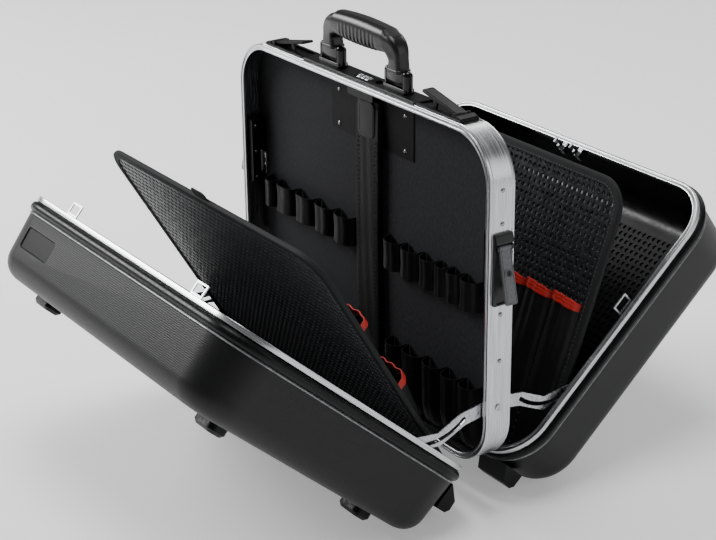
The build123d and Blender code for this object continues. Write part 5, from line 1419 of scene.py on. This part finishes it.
class TOOLCASE_OT_pallets(bpy.types.Operator):
    """Perforated pallets with bound edges, sewn pockets and red elastic"""

    bl_idname = "toolcase.pallets"
    bl_label = "Pallets"

    def execute(self, context):
        size = context.scene.tool_case
        chance = random.Random(size.seed + 1)
        for name in ("front", "rear"):
            place = PALLETS[name]
            middle = place @ shift(0, PALLET_SIZE[1] / 2 + PALLET_EDGE_RISE, 0)
            body = f"{name}_pallet"
            # The front pallet's sheet takes the lighter copy with painted light.
            perforated_field(f"perforated_{name}_sheet", PALLET_SIZE[0] - 13, PALLET_SIZE[1] - 13, 33, size, 3.6, True,
                             middle, pallet_plastic("painted_lit_" if name == "front" else ""), body,
                             [f"{name}_pallet_board"])
            self.binding(name, middle, body)
            self.stitches(name, middle, body, size)
            self.pockets(name, place, body, size, chance)
            self.tape(name)
        panel = TRAYS["rear"] @ shift(0, CASE_HEIGHT / 2, 87.2) @ turn(180, "Y")
        perforated_field("dimpled_floor_lining", 386, 281, 26, size, 5.2, False, panel, pallet_plastic("black_"),
                         "rear_shell", ["rear_floor_panel"])
        return {"FINISHED"}

    def binding(self, name, middle, body):
        path = rounded_path(*PALLET_SIZE, PALLET_CORNER, 12)
        profile = soften([(0.2, -2.6, 2.4), (0.2, 2.6, 2.4), (3, 3.25, 1.5), (10.6, 2.7, 0.5), (11, 1.0, 0),
                          (11, -1.0, 0), (10.6, -2.7, 0.5), (3, -3.25, 1.5)], 3)
        bm = sweep(path, PALLET_CORNER, profile)
        if name == "front":
            top = PALLET_SIZE[1] / 2
            tab = sweep(rounded_path(28, 15, 5, 5, (0, top + 3.5)), 5,
                        [Vector((0.5, -0.8)), Vector((0, -0.4)), Vector((0, 0.4)), Vector((0.5, 0.8))],
                        closed=False)
            join(bm, tab)
        finish(f"bound_edge_{name}", bm, middle, grey_tape(), body, [f"{name}_pallet_binding"])

    def stitches(self, name, middle, body, size):
        spots = []
        path, total = rounded_path(*PALLET_SIZE, PALLET_CORNER, 24)
        inset = 8.6
        points = [corner + out * (PALLET_CORNER - inset) for corner, out, _ in path]
        points.append(points[0])
        gap = 0.0
        for a, b in zip(points, points[1:]):
            length = (b - a).length
            if length < 1e-6:
                continue
            direction = (b - a) / length
            while gap <= length:
                at = a + direction * gap
                for face in (1, -1):
                    spots.append(spot(middle, (at.x, at.y, face * 3.0), (0, 0, face), (direction.x, direction.y, 0)))
                gap += size.mm("stitch_pitch")
            gap -= length
        set_on_points(f"binding_stitches_{name}", spots, stitch(size.mm("stitch_length")), thread(), body)

    def pockets(self, name, place, body, size, chance):
        cloth, hems = bmesh.new(), bmesh.new()
        uv = cloth.loops.layers.uv.new("UVMap")
        hems.loops.layers.uv.new("UVMap")
        width_flat, height_flat = 0.0, 0.0
        for count, foot, mouth, foot_bulge, mouth_bulge in POCKET_ROWS[name]:
            row_width = 0.0
            for x0, x1 in pocket_spans(name, count):
                phase, lean = chance.uniform(0, 6.28), chance.uniform(-1, 1)
                run = self.pocket(cloth, uv, x0, x1, foot, mouth, foot_bulge, mouth_bulge, phase, lean, size)
                self.hem(hems, x0, x1, mouth, mouth_bulge, phase, lean, size)
                row_width += run
            width_flat = max(width_flat, row_width)
            height_flat += (mouth - foot) * 1.04 + 6
        area = sheet_area(cloth)
        grow(cloth, 0.7, Vector((0, 0, 1)))
        piece = finish(f"{name}_pocket_cloth", cloth, place, pocket_cloth(), body,
                       [f"{name}_pallet_pockets"], 60)
        hem_piece = finish(f"{name}_red_hems", hems, place, red_rubber_web(), body,
                           [f"{name}_pallet_elastics"], 50)

    def plan(self, share, bulge, phase, lean, size, pleats, square):
        """How far the cloth stands off the board across a pocket."""
        swell = (1 - abs(2 * share - 1) ** square) ** 0.5
        gather = size.mm("pleat_depth") * math.sin(2 * math.pi * pleats * share + phase) * min(1.0, 4 * swell)
        return bulge * swell * (1 + 0.12 * lean * (2 * share - 1)) + gather * swell

    def pocket(self, bm, uv, x0, x1, foot, mouth, foot_bulge, mouth_bulge, phase, lean, size):
        columns = 18 if x1 - x0 < 60 else 34
        levels = 14
        pleats = max(2, round((x1 - x0) / 15))
        grid = []
        for i in range(levels + 1):
            up = i / levels
            s = foot + (mouth + 2 - foot) * up
            rise = up ** 1.15
            row = []
            for j in range(columns + 1):
                share = j / columns
                near = self.plan(share, mouth_bulge - 0.6, phase, lean, size, pleats, 2.6 if x1 - x0 < 60 else 12)
                far = foot_bulge * (1 - abs(2 * share - 1) ** 4) ** 0.5
                wave = 0.5 * math.sin(6.28 * (share * 2 + up * 1.7) + phase) * math.sin(math.pi * up)
                stand = far + (near - far) * rise + wave * (1 - abs(2 * share - 1) ** 4)
                row.append(bm.verts.new((x0 + (x1 - x0) * share, s, -BOARD_HALF - max(stand, 0.15))))
            grid.append(row)
        run = [0.0]
        for a, b in zip(grid[-1], grid[-1][1:]):
            run.append(run[-1] + (b.co - a.co).length)
        for i in range(levels):
            for j in range(columns):
                face = bm.faces.new((grid[i][j], grid[i + 1][j], grid[i + 1][j + 1], grid[i][j + 1]))
                for loop, (a, b) in zip(face.loops, ((j, i), (j, i + 1), (j + 1, i + 1), (j + 1, i))):
                    loop[uv].uv = (run[a] * MM, (mouth - foot) * b / levels * MM)
        return run[-1]

    def hem(self, bm, x0, x1, mouth, bulge, phase, lean, size):
        """Elastic band with three soft ribs along a pocket's mouth."""
        uv = bm.loops.layers.uv.active
        columns = 20 if x1 - x0 < 60 else 48
        pleats = max(2, round((x1 - x0) / 15))
        height = ELASTIC_HEIGHT
        section = []
        for k in range(13):
            share = k / 12
            section.append((share * height, 1.0 + 0.55 * abs(math.sin(math.pi * 3 * share))))
        section += [(share * height, 0.0) for share in (1.0, 0.66, 0.33, 0.0)]
        rows = []
        for j in range(columns + 1):
            share = j / columns
            stand = self.plan(share, bulge - 0.4, phase, lean, size, pleats, 2.6 if x1 - x0 < 60 else 12)
            scallop = 1.3 * (1 - (2 * share - 1) ** 2)
            pinch = 0.8 + 0.2 * min(1.0, 5 * min(share, 1 - share))
            row = []
            for up, out in section:
                tilt = (3.2 if x1 - x0 < 60 else 0.0) * (share - 0.5)
                s = mouth + height / 2 + (up - height / 2) * pinch + scallop - 1.0 + tilt
                row.append(bm.verts.new((x0 + (x1 - x0) * share, s, -BOARD_HALF - max(stand, 0.3) - out)))
            rows.append(row)
        run = 0.0
        for a, b in zip(rows, rows[1:]):
            step = (b[0].co - a[0].co).length
            for j in range(len(a)):
                k = (j + 1) % len(a)
                face = bm.faces.new((a[j], a[k], b[k], b[j]))
                for loop, (u, v) in zip(face.loops, ((run, j), (run, j + 1), (run + step, j + 1), (run + step, j))):
                    loop[uv].uv = (u * MM, v * height / 12 * MM)
            run += step
        bm.faces.new(rows[0])
        bm.faces.new(rows[-1])
        bmesh.ops.recalc_face_normals(bm, faces=bm.faces)

    def tape(self, name):
        """Woven tape that hinges the pallet on the shell's lower wall."""
        v, w = (10.0, 15.0) if name == "front" else (16.0, 65.0)
        slope = math.tan(math.radians(5))
        start = 1.2 + max(0.0, w + 0.6 - 20) * slope + 3 / math.cos(math.radians(5)) - 0.3
        end = v + PALLET_EDGE_RISE + 0.6
        bm = bmesh.new()
        uv = bm.loops.layers.uv.new("UVMap")
        columns, levels = 60, 6
        grid = []
        for i in range(levels + 1):
            up = i / levels
            row = []
            for j in range(columns + 1):
                x = -180 + 360 * j / columns
                sag = 0.25 * math.sin(x / 23) * math.sin(math.pi * up)
                row.append(bm.verts.new((x, start + (end - start) * up, w + sag - 0.45)))
            grid.append(row)
        for i in range(levels):
            for j in range(columns):
                face = bm.faces.new((grid[i][j], grid[i][j + 1], grid[i + 1][j + 1], grid[i + 1][j]))
                for loop in face.loops:
                    loop[uv].uv = (loop.vert.co.x * MM, loop.vert.co.y * MM)
        grow(bm, 0.9, Vector((0, 0, 1)))
        finish(f"{name}_hinge_tape", bm, TRAYS[name], webbing("woven_black_tape", "#09090A", "#131415"),
               f"{name}_shell", [f"{name}_pallet_tape"])


# ---------------------------------------------------------------- stage

CAMERA_PLACE = (1567.98, -1080.98, 943.07)
CAMERA_FORWARD = (-0.76303, 0.51998, -0.38393)
CAMERA_RIGHT = (0.56672, 0.82385, -0.01052)
CAMERA_LENS = 1821.43 / 716 * 36


class TOOLCASE_OT_stage(bpy.types.Operator):
    """Pale floor, soft studio light and the camera"""

    bl_idname = "toolcase.stage"
    bl_label = "Stage"

    def execute(self, context):
        floor_bm = bmesh.new()
        bmesh.ops.create_grid(floor_bm, x_segments=1, y_segments=1, size=14000)
        floor = temporary("studio_floor", floor_bm)
        floor.data.materials.append(surface(
            "lit_white_paper", "#F4F4F4", "#F6F6F6", 900.0, rough=(0.9, 0.95),
            **{"Emission Color": (1, 1, 1, 1), "Emission Strength": 0.3}))
        world = bpy.data.worlds.new("studio")
        world.use_nodes = True
        tree = world.node_tree
        tree.nodes.clear()
        sky = add(tree, "ShaderNodeBackground", {"Color": (1, 1, 1, 1), "Strength": 0.18})
        add(tree, "ShaderNodeOutputWorld", {"Surface": sky.outputs["Background"]})
        bpy.context.scene.world = world
        lamps = (
            ("key_softbox", (-2.5, -1.5, 1.9), (1.7, 1.2), 125),
            ("side_softbox", (2.6, 1.5, 1.3), (0.7, 2.0), 12),
            ("back_softbox", (-0.9, 2.6, 2.4), (2.6, 1.0), 38),
            ("overhead_softbox", (0.1, -0.2, 3.0), (1.3, 1.3), 50),
        )
        for name, place, (long, wide), power in lamps:
            lamp = bpy.data.lights.new(name, "AREA")
            lamp.shape = "RECTANGLE"
            lamp.size, lamp.size_y = long, wide
            lamp.energy = power
            holder = bpy.data.objects.new(name, lamp)
            holder.location = place
            aim = Vector((0, 0, 0.2)) - Vector(place)
            holder.rotation_euler = aim.to_track_quat("-Z", "Y").to_euler()
            bpy.context.scene.collection.objects.link(holder)
        self.camera()
        return {"FINISHED"}

    def camera(self):
        data = bpy.data.cameras.new("photo_camera")
        data.sensor_fit = "HORIZONTAL"
        data.sensor_width = 36
        data.lens = CAMERA_LENS
        data.clip_end = 100
        holder = bpy.data.objects.new("photo_camera", data)
        right, forward = Vector(CAMERA_RIGHT), Vector(CAMERA_FORWARD).normalized()
        right = (right - forward * right.dot(forward)).normalized()
        up = right.cross(forward)
        turned = Matrix((right, up, -forward)).transposed().to_4x4()
        place = Vector(CAMERA_PLACE) + Vector((0, 0, LIFT))
        holder.matrix_world = Matrix.Translation(place * MM) @ turned
        bpy.context.scene.collection.objects.link(holder)
        bpy.context.scene.camera = holder


# ---------------------------------------------------------------- add-on

OPERATORS = (
    TOOLCASE_OT_stage,
    TOOLCASE_OT_cad_finishes,
    TOOLCASE_OT_frame_band,
    TOOLCASE_OT_rivets,
    TOOLCASE_OT_tool_rows,
    TOOLCASE_OT_centre_strap,
    TOOLCASE_OT_handle,
    TOOLCASE_OT_handle_ears,
    TOOLCASE_OT_draw_levers,
    TOOLCASE_OT_number_wheels,
    TOOLCASE_OT_shells,
    TOOLCASE_OT_pallets,
)


class TOOLCASE_PT_panel(bpy.types.Panel):
    """Sidebar list of the case's pieces"""

    bl_idname = "TOOLCASE_PT_panel"
    bl_label = "Tool Case"
    bl_space_type = "VIEW_3D"
    bl_region_type = "UI"
    bl_category = "Tool Case"

    def draw(self, context):
        for operator in OPERATORS:
            self.layout.operator(operator.bl_idname)
        for name in ToolCaseSizes.__annotations__:
            self.layout.prop(context.scene.tool_case, name)


def register():
    bpy.utils.register_class(ToolCaseSizes)
    bpy.types.Scene.tool_case = bpy.props.PointerProperty(type=ToolCaseSizes)
    for operator in OPERATORS:
        bpy.utils.register_class(operator)
    bpy.utils.register_class(TOOLCASE_PT_panel)


def unregister():
    bpy.utils.unregister_class(TOOLCASE_PT_panel)
    for operator in reversed(OPERATORS):
        bpy.utils.unregister_class(operator)
    del bpy.types.Scene.tool_case
    bpy.utils.unregister_class(ToolCaseSizes)


def main():
    register()
    for operator in OPERATORS:
        getattr(bpy.ops.toolcase, operator.bl_idname.split(".")[1])()


if __name__ == "__main__":
    main()
